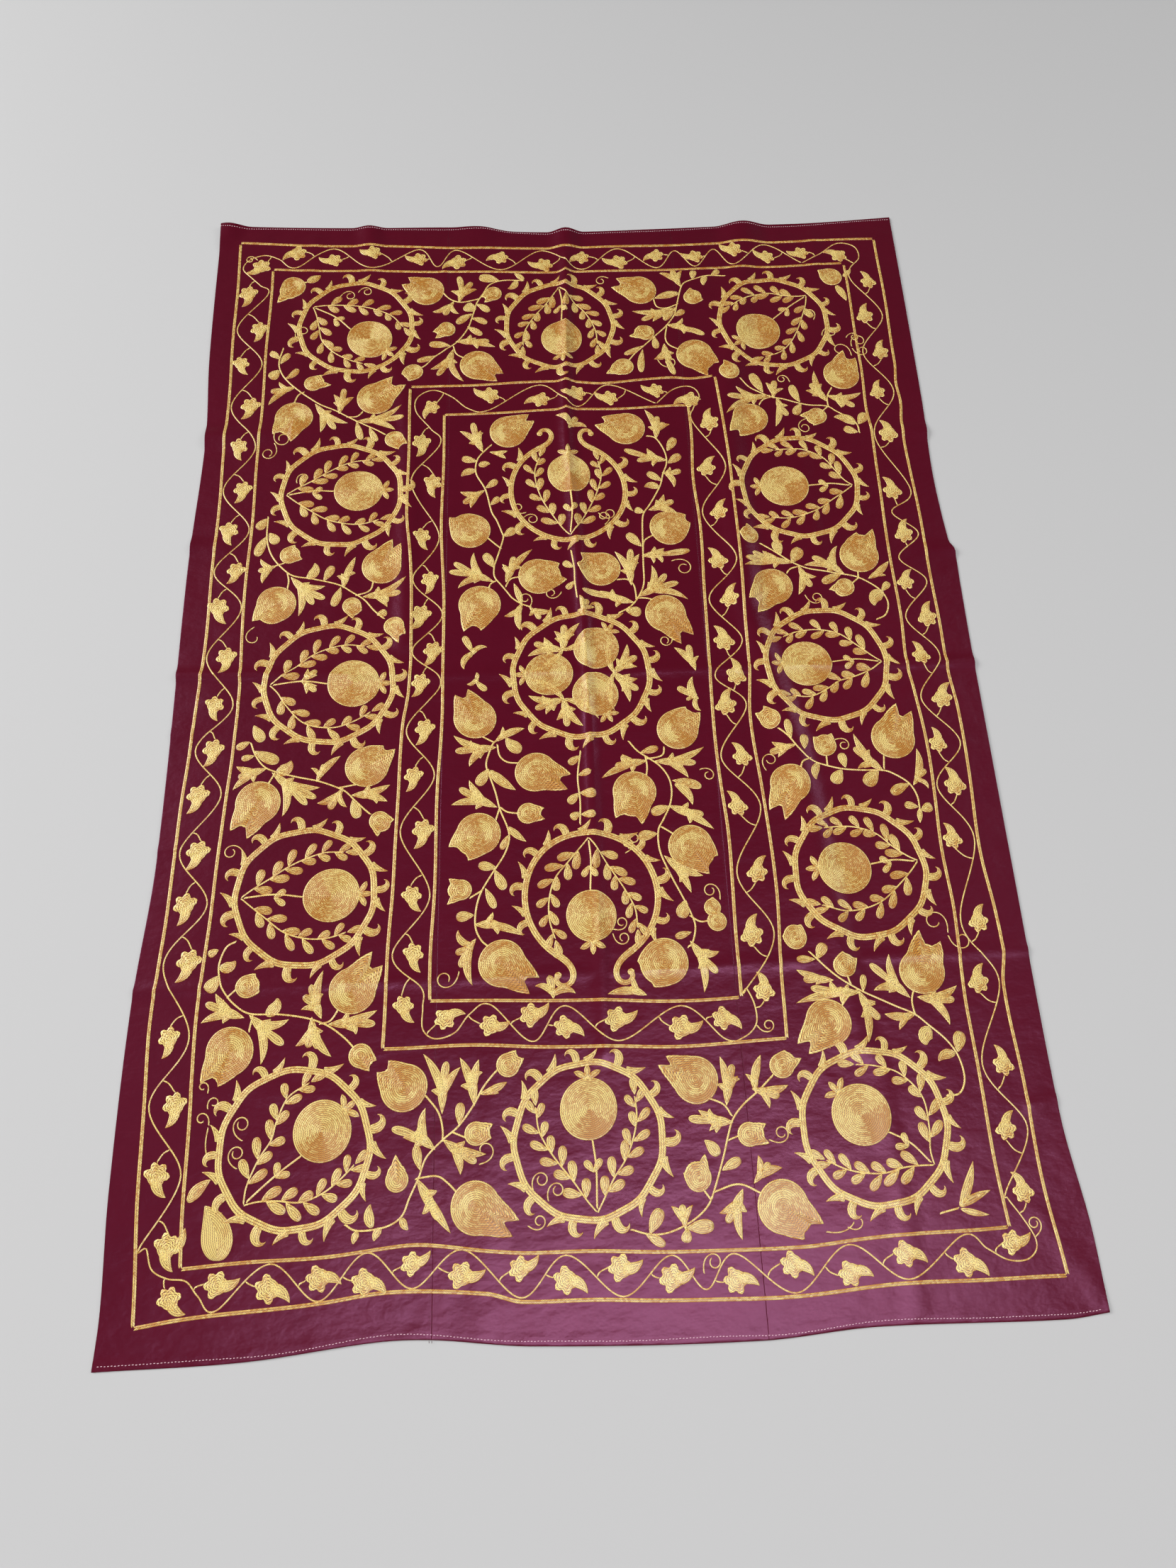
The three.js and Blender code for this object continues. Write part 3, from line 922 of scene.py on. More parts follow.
def ring(patch, centre, radius, root, look, gap=None):
    # a wreath: a round band, and pairs of a wave that rolls one way and a flame that points the other
    if gap is None:
        count = int(2 * np.pi * radius / thread["step"])
        angle = np.linspace(0, 2 * np.pi, count, endpoint=False)
        wave = radius + 0.9 * np.sin(look["pairs"] * angle + root)
        path = np.stack([centre[0] + wave * np.cos(angle), centre[1] + wave * np.sin(angle)], -1)
        ribbon(patch, path, look["band"], look["tone"], look["rows"], closed=True)
    else:  # an open wreath whose ends roll outwards beside the fruit's crown
        way, opening, length, roll = gap
        side = np.radians(np.linspace(opening / 2, 360 - opening / 2, 150) + way)
        path = np.stack([centre[0] + radius * np.cos(side), centre[1] + radius * np.sin(side)], -1)
        ribbon(patch, evenly(path, thread["step"]), look["band"], look["tone"], look["rows"])
        for sign in (1, -1):
            at = polar(centre, way + sign * (opening / 2 + 3), radius)
            path, t = arcSpine(at, way + sign * (opening / 2 - 90), length, sign * roll, 2.8, 2.3)
            half = look["endHalf"] * (1 - 0.3 * t)
            half[[0, -1]] = 0
            stroke(patch, path, half, look["tone"], 0.15)
            blob(patch, path[-2], look["knob"], look["tone"], base=0.2)
    for k in range(look["pairs"]):
        angle = root + 360 * (k + 0.5) / look["pairs"] + 3.5 * np.sin(7 * k + root)
        if gap is not None and abs((angle - gap[0] + 180) % 360 - 180) < gap[1] / 2 + look["clear"]:
            continue
        size = 1 + 0.1 * np.sin(3 * k + centre[1])
        edge = radius + look["band"] / 2 - 1
        hook(patch, centre, angle, edge, look["lean"], look["hook"] * size, look["tone"])
        foot = angle - look["lean"] * (9 + 2.5 * np.sin(5 * k + root))
        thorn(patch, centre, foot, edge, -look["lean"], look["thorn"] * size, look["tone"])


def crown(patch, centre, angle, radius, tone, size=24):
    # three short blades from one point: the outer two lean 40 degrees away and curl out by 35 more
    at = polar(centre, angle, radius - 4)
    for turn, share in ((-50, 1.05), (50, 1.05), (0, 1.0)):
        blade(patch, at, angle + turn * 0.8, size * share, size * 0.42, turn * 0.7, tone, 0.2, 0.5, 0.6)


def sprig(patch, centre, root, span, depth, radius, tone, look):
    # a stem that bows in beside the fruit and out to its tip, with leaves in pairs on both sides
    sign = np.sign(span)
    turn, reach = np.array(look["bow"], float).T
    reach = 1 - (1 - reach) * depth ** np.sin(np.pi * turn / turn[-1])
    angles = np.radians(root + span / turn[-1] * turn)
    far = radius * reach
    points = np.stack([centre[0] + far * np.cos(angles), centre[1] + far * np.sin(angles)], -1)
    path = curve(points, 3.4)
    ribbon(patch, path, look["stemWidth"], look["stemTone"], base=0.1)
    s, normal = frameOf(path)
    for k in range(look["pairs"]):
        t = 0.15 + 0.76 * k / (look["pairs"] - 1)
        i = int(t * (len(path) - 1))
        ahead = np.degrees(np.arctan2(-normal[i, 0], normal[i, 1]))
        grow = 1.06 - 0.22 * t
        for side, splay, length in look["leaves"]:
            size = length * grow * (1 + 0.1 * np.sin(5 * k + side + root))
            at = path[min(i + (2 if side > 0 else 0), len(path) - 1)]
            way = ahead - side * splay * sign + 6 * np.sin(3 * k + side)
            shade = tone + 0.12 * np.sin(4 * k + 2 * side)
            drop(patch, at, way, size, look["leafWidth"] * grow, side * look["leafBend"] * sign, shade)
    last = path[-1] - path[-3]
    drop(patch, path[-1], np.degrees(np.arctan2(last[1], last[0])), *look["tip"], 0, tone)


sprigLook = {"bow": [(0, 0.92), (10, 0.76), (30, 0.59), (60, 0.54), (90, 0.58), (115, 0.70), (135, 0.84)],
             "pairs": 6, "stemWidth": 3.2, "stemTone": 0.9, "leaves": ((1, 42, 31), (-1, 40, 30)),
             "leafWidth": 14.2, "leafBend": 14, "tip": (27, 13)}


medallions = {
    # centre, ring radius, root angle, fruit centre, fruit radius, crown angle, span and depth of two sprigs
    "topLeft": ((-411, 753), 109, 149, (-384, 722), 45, -42, (-150, 1.15), (132, 0.72)),
    "topCentre": ((-11, 752), 105, 90, (-8, 718), 42, -90, (-124, 0.95), (124, 1.05)),
    "topRight": ((416, 754), 109, 42, (382, 731), 45, 216, (113, 0.68), (-150, 1.15)),
    "leftUpper": ((-423, 364), 108, 180, (-392, 371), 45, 0, (-124, 1.05), (142, 1.0)),
    "leftMiddle": ((-429, -15), 108, 180, (-388, -17), 45, 0, (-132, 0.95), (143, 0.5)),
    "leftLower": ((-449, -382), 108, 180, (-408, -382), 45, 0, (-130, 1.05), (138, 0.9)),
    "bottomLeft": ((-445, -752), 108, 228, (-406, -731), 44, 40, (-150, 1.45), (116, 0.68)),
    "bottomCentre": ((-20, -759), 108, 275, (-19, -717), 44, 90, (-128, 1.1), (124, 0.95)),
    "bottomRight": ((404, -759), 108, -36, (386, -742), 45, 132, (-116, 0.85), (138, 0.45)),
    "rightUpper": ((423, 364), 108, 0, (394, 364), 45, 180, (-132, 1.0), (116, 0.52)),
    "rightMiddle": ((427, -3), 106, 0, (393, -1), 44, 180, (-140, 1.4), (142, 0.85)),
    "rightLower": ((435, -373), 106, 8, (409, -368), 44, 180, (-150, 1.0), (118, 0.72)),
    "innerUpper": ((-9, 364), 106, 270, (-6, 400), 42, 90, (-146, 1.1), (138, 1.15)),
    "innerLower": ((0, -399), 106, 90, (-2, -429), 42, 270, (-128, 1.1), (138, 0.85)),
}
innerCoils = {
    "topLeft": [(-446, 828, 60, 78, -1.25), (-410, 838, 60, 72, -1.25), (-526, 728, 100, 74, -1.2)],
    "topRight": [(498, 756, 60, 74, 1.2), (510, 716, 80, 78, -1.2)],
    "bottomLeft": [(-519, -739, 150, 88, -1.3), (-524, -777, 150, 84, -1.3)],
    "bottomCentre": [(-100, -828, 110, 78, -1.25), (-80, -840, 100, 74, -1.25)],
    "leftUpper": [(-504, 388, 100, 64, -1.2)],
    "innerUpper": [(-86, 318, 200, 70, -1.2), (44, 316, -60, 76, 1.2)],
    "innerLower": [(30, -452, -20, 66, 1.2), (58, -330, 20, 62, 1.2)],
}
calyxes = ("leftMiddle",)
# for each open ring: way, opening, length and roll of its ends
openRings = {"innerUpper": (90, 56, 80, 260), "innerLower": (270, 66, 98, 300)}
medallionLook = {
    "palerBelow": -600,
    "paler": 0.22,  # the bottom three are painted paler, as sheen from the light near the bottom edge
    "stalkFrom": 0.88,
    "splay": 38,
    "calyx": ((0.9, 25), (0, 31), (-0.5, 27)),  # turn, as a share of the splay, and reach of each tip
    "calyxTone": 0.72,
    "leaf": (23, 11.5),  # length and width
    "leafTone": 0.7,
    "fruitTone": 0.64,
    # painted shade: gain of a darker sector on the fruit
    "dark": -0.58,
    "squash": 0.96,
    "lift": 0.25,
    "rim": 0.2,
    "crownTone": 0.5,
    "sprigTone": 0.46,
}


def medallion(name, facts, look):
    # a wreath, its fruit on a stalk with two leaves, and two sprigs from the same root
    centre, radius, root, fruitAt, fruitRadius, crownAngle, *sprigs = facts
    patch = Patch()
    # painted sheen: the ring and sprigs of the bottom three are painted paler
    paler = look["paler"] if centre[1] < look["palerBelow"] else 0.0
    ring(patch, centre, radius, root, {**ringLook, "tone": ringLook["tone"] + paler}, openRings.get(name))
    base = polar(centre, root, look["stalkFrom"] * radius)
    foot = polar(fruitAt, root, fruitRadius - 2)
    middle = (base + foot) / 2 + (3, 5)
    stem(patch, [base, middle, foot])
    for splay in (look["splay"], -look["splay"]):
        way = root + 180 + splay
        if name in calyxes:
            tips = [polar(middle, way + splay * turn, reach) for turn, reach in look["calyx"]]
            hand(patch, middle, tips, look["calyxTone"])
        else:
            length, width = look["leaf"]
            start = base + (foot - base) * 0.5
            end = polar(start, way - 0.1 * splay, length)
            dropTo(patch, start, end, width, 0.4 * splay, look["leafTone"])
    # painted shade: a darker sector on the fruit, from just inside its rim to its centre
    dark = (root + 25 * np.sin(fruitAt[0]), 62 + 14 * np.sin(fruitAt[1]), look["dark"], 0.0, 0.94)
    blob(patch, fruitAt, fruitRadius, look["fruitTone"], squash=look["squash"], turn=crownAngle,
         base=look["lift"], sector=dark, rim=look["rim"])
    crown(patch, fruitAt, crownAngle, fruitRadius, look["crownTone"])
    for span, depth in sprigs:
        sprig(patch, centre, root, span, depth, radius, look["sprigTone"] + paler, sprigLook)
    for x, y, angle, length, turns in innerCoils.get(name, ()):
        tendril(patch, (x, y), angle, length, turns)
    patch.piece("medallion." + name)


trioLook = {
    "centre": (0, -11),
    "radius": 116,
    "root": 60,
    "pairs": 12,
    "fruits": ((-55, -9, 180), (27, 37, 56), (23, -50, -62)),  # x, y and way of the crown
    "fruit": 41,
    "fruitTone": 0.34,
    # painted sheen side of each fruit: way from the crown, spread, gain, from and to centre
    "pale": (150, 70, 0.5, 0.3, 0.7),
    "crown": 22,
    "spaces": (0, 124, 236),
    "stalk": 56,
    "tips": ((6, 97), (18, 102), (34, 98)),  # turn and reach
}


def trioMedallion(look):
    # three fruits that touch, with a pair of lobed leaves in each space between them
    centre, radius = look["centre"], look["fruit"]
    patch = Patch()
    ring(patch, centre, look["radius"], look["root"], {**ringLook, "pairs": look["pairs"]})
    turn, *rest = look["pale"]
    for x, y, way in look["fruits"]:
        blob(patch, (x, y), radius, look["fruitTone"], squash=0.97, turn=way, base=0.25,
             sector=(way + turn, *rest), rim=0.4)
        crown(patch, (x, y), way, radius, 0.5, look["crown"])
    for way in look["spaces"]:
        start = polar(centre, way, look["stalk"])
        for side in (1, -1):
            tips = [polar(centre, way + side * turn, reach) for turn, reach in look["tips"]]
            hand(patch, start, tips, 0.78)
            bladeTo(patch, start, polar(centre, way + side * 52, 90), 13, -side * 50, 0.8, 0.15)
    patch.piece("medallion.innerMiddle")


for name, facts in medallions.items():
    medallion(name, facts, medallionLook)
trioMedallion(trioLook)
print("medallions made")


branchLook = {
    "runOn": 5,  # how far a stalk runs on under what it joins
    "dropTone": 0.74,
    "bladeTone": 0.76,
    "handTone": 0.76,
    "coil": 1.6,  # length of a coil, as a share of its charted one
}


def branch(name, stems=(), fruits=(), buds=(), drops=(), blades=(), hands=(), coils=(), look=branchLook):
    # one spray of the embroidery, from its chart of listed points
    patch = Patch()
    for k, points in enumerate(stems):
        points = np.array(points, float)
        if k:
            ends = np.stack([points[0] - points[1], points[-1] - points[-2]])
            points[[0, -1]] += look["runOn"] * ends / np.hypot(*ends.T)[:, None]
        stem(patch, points)
    for x, y, radius, *beak in fruits:
        fruit(patch, x, y, radius, beak, fruitLook["tone"])
    for x, y, radius, *beak in buds:
        fruit(patch, x, y, radius, beak, fruitLook["budTone"])
    for x0, y0, x1, y1, width, bend in drops:
        dropTo(patch, (x0, y0), (x1, y1), width, bend, look["dropTone"] + 0.12 * np.sin(x0 + y1))
    for x0, y0, x1, y1, width, bend in blades:
        bladeTo(patch, (x0, y0), (x1, y1), width, bend, look["bladeTone"] + 0.12 * np.sin(x0 + y1))
    for start, *tips in hands:
        hand(patch, start, tips, look["handTone"] + 0.1 * np.sin(start[0]))
    for x, y, angle, length, turns in coils:
        tendril(patch, (x, y), angle, look["coil"] * length, turns)
    patch.piece("branch." + name)


# Each row is read off the plan: x, y, radius and calyx points; start, end, width and bend;
# or start and tips.
branch("topLeft",
       stems=[[(-79, 867), (-121, 867), (-149, 856), (-162, 833), (-174, 810), (-181, 782), (-192, 745),
               (-213, 713), (-236, 694), (-259, 676), (-275, 657), (-288, 648)],
              [(-174, 819), (-204, 812), (-227, 821), (-240, 836)], [(-220, 699), (-215, 683), (-202, 674)]],
       fruits=[(-273, 842, 35, (-312, 878), (-324, 859)), (-174, 655, 35, (-125, 634), (-137, 616))],
       buds=[(-142, 833, 17, (-160, 810), (-166, 824)), (-234, 743, 18, (-257, 722), (-262, 738)),
             (-298, 641, 19, (-320, 634), (-307, 618))],
       drops=[(-130, 866, -172, 874, 22, 14), (-188, 812, -188, 786, 26, 0),
              (-176, 806, -150, 786, 16, -40), (-182, 782, -214, 756, 17, 20),
              (-186, 770, -154, 756, 15, -40), (-194, 750, -164, 728, 15, 0),
              (-226, 702, -270, 708, 17, 14), (-254, 680, -293, 668, 14, -16)],
       blades=[(-96, 868, -114, 846, 15, -90), (-80, 868, -100, 886, 13, 20)],
       hands=[((-208, 815), (-211, 879), (-183, 862), (-174, 843), (-226, 840)),
              ((-220, 812), (-262, 789), (-238, 778), (-208, 782)),
              ((-213, 713), (-139, 700), (-150, 714), (-176, 722)),
              ((-222, 692), (-266, 646), (-252, 630), (-200, 615))])
branch("topLeftCorner",
       stems=[[(-546, 834), (-528, 862), (-508, 868)]],
       fruits=[(-538, 856, 25, (-569, 815))],
       blades=[(-512, 868, -484, 886, 18, 25)])
branch("leftTop",
       stems=[[(-547, 705), (-554, 668), (-547, 640), (-531, 617), (-513, 599), (-494, 583), (-471, 566),
               (-444, 553), (-416, 536), (-388, 520), (-365, 507), (-346, 494)],
              [(-393, 548), (-402, 539), (-418, 538)], [(-520, 572), (-514, 588), (-505, 594)]],
       fruits=[(-520, 536, 36, (-556, 496), (-522, 480)), (-367, 580, 36, (-335, 630), (-310, 609))],
       buds=[(-331, 484, 18, (-306, 470), (-322, 460)), (-487, 615, 17, (-452, 612), (-470, 636))],
       drops=[(-552, 676, -574, 694, 15, 20), (-551, 664, -533, 690, 15, -20),
              (-552, 650, -570, 628, 22, 0), (-541, 628, -516, 652, 15, 50), (-402, 528, -392, 484, 15, 10),
              (-378, 514, -362, 480, 13, 16)],
       hands=[((-522, 606), (-552, 622), (-568, 599), (-570, 567)),
              ((-436, 548), (-448, 590), (-427, 604), (-408, 584)),
              ((-480, 566), (-469, 500), (-418, 523), (-442, 508)),
              ((-402, 527), (-317, 562), (-312, 534), (-329, 505))],
       coils=[(-546, 512, -120, 62, 1.2), (-552, 480, -60, 60, -1.3)])
branch("leftUpper",
       stems=[[(-553, 320), (-553, 278), (-547, 251), (-536, 230), (-517, 209), (-499, 196), (-471, 190),
               (-443, 182), (-416, 172), (-397, 159), (-374, 143), (-356, 122), (-337, 105)],
              [(-508, 174), (-507, 186), (-510, 200)], [(-361, 176), (-363, 165), (-372, 157), (-386, 153)],
              [(-519, 222), (-530, 218)]],
       fruits=[(-526, 140, 35, (-567, 107), (-539, 102)), (-347, 210, 35, (-328, 266), (-313, 256))],
       buds=[(-510, 238, 17, (-501, 259), (-486, 230)), (-395, 131, 17, (-392, 106), (-377, 121)),
             (-321, 91, 18, (-312, 56), (-300, 73))],
       drops=[(-550, 284, -533, 260, 20, -14), (-553, 277, -568, 235, 19, 10),
              (-554, 315, -571, 290, 19, 10), (-448, 183, -433, 215, 17, 14),
              (-416, 170, -429, 130, 17, -10), (-352, 113, -333, 120, 15, 0)],
       blades=[(-478, 191, -466, 222, 19, 105)],
       hands=[((-533, 216), (-560, 232), (-563, 206), (-553, 181)), ((-412, 170), (-393, 231), (-418, 198)),
              ((-502, 192), (-443, 173), (-442, 147), (-462, 136), (-487, 114)),
              ((-374, 149), (-303, 188), (-311, 156), (-334, 128))],
       coils=[(-561, 97, -150, 38, 0.75)])
branch("leftLower",
       stems=[[(-552, -118), (-542, -143), (-526, -164), (-503, -175), (-471, -184), (-439, -191),
               (-411, -201), (-393, -210), (-377, -226), (-361, -242), (-350, -252)],
              [(-377, -199), (-402, -203)], [(-517, -191), (-510, -178)]],
       fruits=[(-359, -168, 36, (-314, -138), (-333, -131)), (-534, -226, 37, (-575, -272), (-547, -287))],
       buds=[(-337, -263, 17, (-313, -262), (-340, -290))],
       drops=[(-549, -88, -530, -119, 20, 14), (-552, -118, -576, -130, 14, 10),
              (-545, -134, -502, -155, 21, 20), (-543, -143, -567, -148, 12, 0),
              (-380, -222, -371, -257, 19, 10)],
       blades=[(-508, -172, -484, -153, 22, 110)],
       hands=[((-526, -168), (-574, -160), (-570, -181), (-577, -203)),
              ((-440, -190), (-402, -147), (-452, -168), (-428, -160)),
              ((-512, -176), (-434, -202), (-440, -220), (-455, -232), (-494, -251)),
              ((-398, -206), (-440, -229), (-420, -240), (-389, -237)),
              ((-380, -217), (-320, -202), (-324, -231))],
       coils=[(-549, -309, 125, 46, 1.1)])
branch("leftBottom",
       stems=[[(-550, -450), (-566, -459), (-575, -484), (-572, -507), (-563, -526), (-547, -544),
               (-522, -559), (-480, -562), (-443, -569), (-416, -578), (-397, -588), (-377, -603),
               (-364, -616)], [(-393, -563), (-402, -576), (-415, -579)], [(-520, -582), (-517, -564)],
              [(-547, -524), (-556, -532)]],
       fruits=[(-371, -532, 36, (-341, -473), (-325, -494)), (-547, -613, 36, (-588, -657), (-561, -663))],
       buds=[(-529, -518, 18, (-518, -498), (-509, -527)), (-354, -627, 18, (-330, -634), (-340, -650))],
       drops=[(-577, -462, -594, -471, 13, 0), (-573, -500, -590, -526, 22, -10)],
       blades=[(-574, -486, -550, -478, 18, 115), (-500, -560, -484, -536, 20, 110)],
       hands=[((-417, -570), (-416, -498), (-434, -519), (-446, -536), (-448, -558)),
              ((-532, -564), (-576, -527), (-590, -542), (-594, -572)),
              ((-520, -563), (-463, -570), (-468, -607), (-500, -634)),
              ((-402, -581), (-332, -562), (-334, -582), (-362, -594)),
              ((-430, -572), (-452, -610), (-434, -614), (-416, -616), (-396, -628))])
branch("bottomLeftCorner",
       drops=[(-566, -822, -543, -896, 45, -46)],
       blades=[(-590, -818, -560, -788, 18, -30), (-600, -880, -590, -848, 13, 20)],
       coils=[(-571, -716, 85, 30, 0.95), (-574, -694, 100, 27, -0.95), (-576, -672, 70, 25, 0.95),
              (-571, -717, -100, 26, 0.1)])
branch("bottomLeft",
       stems=[[(-152, -656), (-160, -664), (-174, -682), (-188, -707), (-208, -733), (-231, -751),
               (-255, -774), (-266, -800), (-280, -827), (-291, -850), (-314, -862), (-351, -864),
               (-370, -854)], [(-256, -690), (-238, -712), (-231, -735), (-231, -749)],
              [(-268, -802), (-241, -800), (-225, -809), (-214, -820)], [(-200, -748), (-214, -742)]],
       fruits=[(-289, -675, 35, (-314, -634), (-330, -651)), (-185, -843, 36, (-123, -861), (-133, -882))],
       buds=[(-137, -650, 18, (-112, -640), (-124, -628)), (-183, -744, 17, (-158, -731), (-160, -750)),
             (-298, -802, 17, (-300, -766))],
       drops=[(-208, -732, -206, -700, 15, 10), (-264, -792, -270, -755, 15, -10)],
       blades=[(-290, -850, -280, -868, 12, 60), (-318, -862, -328, -880, 12, 50),
               (-330, -862, -334, -830, 15, -60), (-350, -864, -356, -882, 11, 30)],
       hands=[((-232, -713), (-263, -627), (-227, -640), (-206, -650)),
              ((-186, -704), (-208, -636), (-180, -640)), ((-176, -690), (-138, -674), (-150, -690)),
              ((-244, -762), (-307, -731), (-290, -744), (-256, -705)),
              ((-228, -752), (-182, -784), (-206, -800), (-168, -772)),
              ((-268, -804), (-250, -845), (-236, -858), (-220, -875))],
       coils=[(-180, -786, 10, 40, 0.8), (-112, -868, -40, 42, 1.2)])
branch("topRight",
       stems=[[(332, 873), (295, 875), (267, 867), (244, 856), (235, 837), (230, 819), (224, 796),
               (217, 773), (198, 745), (175, 722), (152, 699), (134, 681), (120, 662)],
              [(180, 815), (184, 798), (203, 793), (225, 802)],
              [(200, 742), (196, 717), (203, 699), (219, 689)]],
       fruits=[(152, 840, 35, (106, 870), (95, 847)), (251, 674, 36, (297, 652), (274, 621))],
       buds=[(258, 819, 18, (256, 844), (280, 812)), (157, 731, 18, (123, 723), (142, 748)),
             (110, 648, 20, (75, 631))],
       drops=[(174, 722, 178, 690, 15, 10), (152, 700, 112, 678, 13, -10), (150, 692, 144, 632, 15, 14),
              (222, 790, 196, 760, 15, 20), (216, 772, 238, 788, 15, 40), (262, 866, 266, 890, 15, 0),
              (300, 874, 318, 890, 14, 20)],
       blades=[(292, 874, 284, 848, 14, 60), (232, 830, 180, 818, 18, 20)],
       hands=[((236, 850), (223, 893), (243, 890), (196, 884)),
              ((222, 792), (132, 786), (150, 762), (173, 758)),
              ((204, 748), (233, 766), (274, 722), (250, 728)),
              ((193, 700), (170, 664), (210, 624), (208, 660))],
       coils=[(178, 664, -70, 54, 1.1), (92, 870, 150, 40, 1.1)])
branch("topRightCorner",
       buds=[(546, 868, 22, (520, 886))],
       blades=[(552, 846, 570, 806, 16, -20), (570, 868, 590, 890, 12, 20)],
       coils=[(566, 690, 95, 54, -1.2), (566, 688, -70, 46, 1.1)])
branch("rightTop",
       stems=[[(334, 615), (350, 596), (369, 583), (392, 570), (415, 564), (440, 555), (465, 549),
               (498, 547), (516, 534), (539, 518), (551, 502), (553, 481)],
              [(511, 588), (502, 571), (501, 551)], [(369, 554), (376, 564), (390, 569)],
              [(490, 536), (498, 544)]],
       fruits=[(535, 622, 35, (547, 683), (569, 664)), (346, 520, 35, (301, 487), (320, 477))],
       buds=[(316, 629, 19, (305, 658), (295, 628)), (477, 523, 19, (441, 523), (467, 500))],
       drops=[(378, 580, 357, 627, 20, 0), (447, 555, 433, 598, 18, -24), (449, 553, 434, 524, 18, 20),
              (553, 502, 570, 531, 21, 14), (551, 484, 524, 496, 17, -14)],
       blades=[(548, 502, 508, 520, 20, 70)],
       hands=[((388, 573), (324, 593), (305, 572), (299, 528)),
              ((396, 569), (384, 604), (401, 609), (418, 588)),
              ((499, 560), (482, 630), (460, 583), (470, 600)),
              ((504, 571), (568, 579), (552, 545), (526, 542)),
              ((403, 565), (423, 548), (420, 523), (393, 498))],
       coils=[(431, 603, 100, 40, 1.2), (456, 517, -160, 52, 1.2), (562, 668, 90, 50, 0.9),
              (557, 712, 60, 40, -1.2)])
branch("rightUpper",
       stems=[[(334, 242), (355, 228), (373, 214), (392, 200), (415, 189), (442, 182), (475, 175),
               (502, 168), (525, 154), (544, 136), (552, 113), (544, 90), (525, 80)],
              [(508, 178), (507, 168)], [(379, 181), (385, 188), (398, 192)], [(496, 156), (506, 164)]],
       fruits=[(515, 212, 36, (547, 267), (517, 261)), (349, 152, 36, (316, 97), (302, 124))],
       buds=[(318, 256, 17, (314, 281), (298, 263)), (479, 147, 18, (448, 142), (469, 128))],
       drops=[(371, 216, 364, 247, 20, 0), (389, 200, 409, 231, 23, -10), (478, 175, 437, 156, 18, 10),
              (544, 136, 561, 155, 14, 0)],
       blades=[(549, 132, 528, 107, 24, 120)],
       hands=[((390, 201), (338, 226), (318, 222), (303, 209), (299, 192)),
              ((480, 176), (478, 234), (426, 212), (409, 195)),
              ((401, 191), (430, 170), (418, 149), (393, 134)), ((527, 164), (567, 199), (558, 168))],
       coils=[(404, 135, -70, 52, 1.3)])
branch("rightLower",
       stems=[[(327, -120), (343, -136), (359, -159), (378, -180), (401, -191), (429, -199), (461, -202),
               (498, -203), (516, -210), (537, -226), (548, -249), (549, -277)], [(502, -180), (500, -197)],
              [(360, -194), (364, -184), (376, -179)], [(405, -177), (405, -190)]],
       fruits=[(522, -145, 37, (538, -81), (562, -96)), (339, -221, 34, (298, -265), (322, -284))],
       buds=[(316, -104, 18, (307, -79), (291, -92)), (405, -156, 19, (386, -138), (418, -133))],
       drops=[(348, -143, 343, -106, 14, 0), (369, -162, 371, -133, 16, 0), (435, -198, 429, -169, 16, 0),
              (429, -200, 413, -226, 22, 20), (491, -203, 466, -230, 25, 20),
              (539, -228, 506, -245, 18, 30), (548, -268, 524, -262, 14, 0), (550, -274, 571, -267, 18, 0)],
       blades=[(392, -187, 384, -218, 15, 70), (549, -270, 546, -297, 10, 0)],
       hands=[((352, -154), (315, -144), (310, -164), (324, -174)),
              ((496, -202), (455, -135), (452, -160), (455, -200)),
              ((546, -228), (558, -164), (569, -203), (568, -238))],
       coils=[(302, -197, 120, 48, -1.1), (421, -146, 20, 42, -1.2)])
branch("rightBottom",
       stems=[[(336, -498), (355, -519), (378, -542), (405, -560), (433, -574), (461, -588), (488, -601),
               (507, -618), (530, -641), (544, -666), (548, -698), (537, -719), (516, -721)],
              [(495, -563), (488, -581), (489, -600)], [(378, -581), (390, -568), (402, -562)],
              [(391, -540), (393, -548)]],
       fruits=[(511, -537, 36, (516, -471), (547, -491)), (352, -608, 35, (301, -638), (317, -654))],
       buds=[(318, -477, 19, (330, -457), (297, -474)), (389, -523, 18, (389, -500), (411, -511))],
       drops=[(348, -512, 363, -487, 18, 0), (346, -512, 314, -511, 13, 0), (412, -565, 417, -536, 12, 0),
              (544, -661, 554, -628, 20, 0)],
       blades=[(541, -664, 513, -674, 16, 90), (512, -626, 500, -649, 24, 120)],
       hands=[((366, -545), (312, -527), (321, -543), (340, -552)),
              ((484, -575), (462, -506), (429, -520), (429, -563)),
              ((404, -565), (305, -579), (331, -556), (390, -552)),
              ((406, -565), (433, -606), (408, -640), (430, -583)), ((488, -601), (440, -598), (460, -624)),
              ((500, -577), (562, -561), (555, -582), (540, -620))],
       coils=[(560, -480, 80, 58, 1.0), (560, -482, -75, 52, 1.1)])
branch("bottomRightCorner",
       stems=[[(479, -881), (511, -874)]],
       blades=[(511, -873, 542, -812, 14, 20), (511, -873, 561, -852, 12, -14),
               (511, -875, 553, -885, 10, 14)])
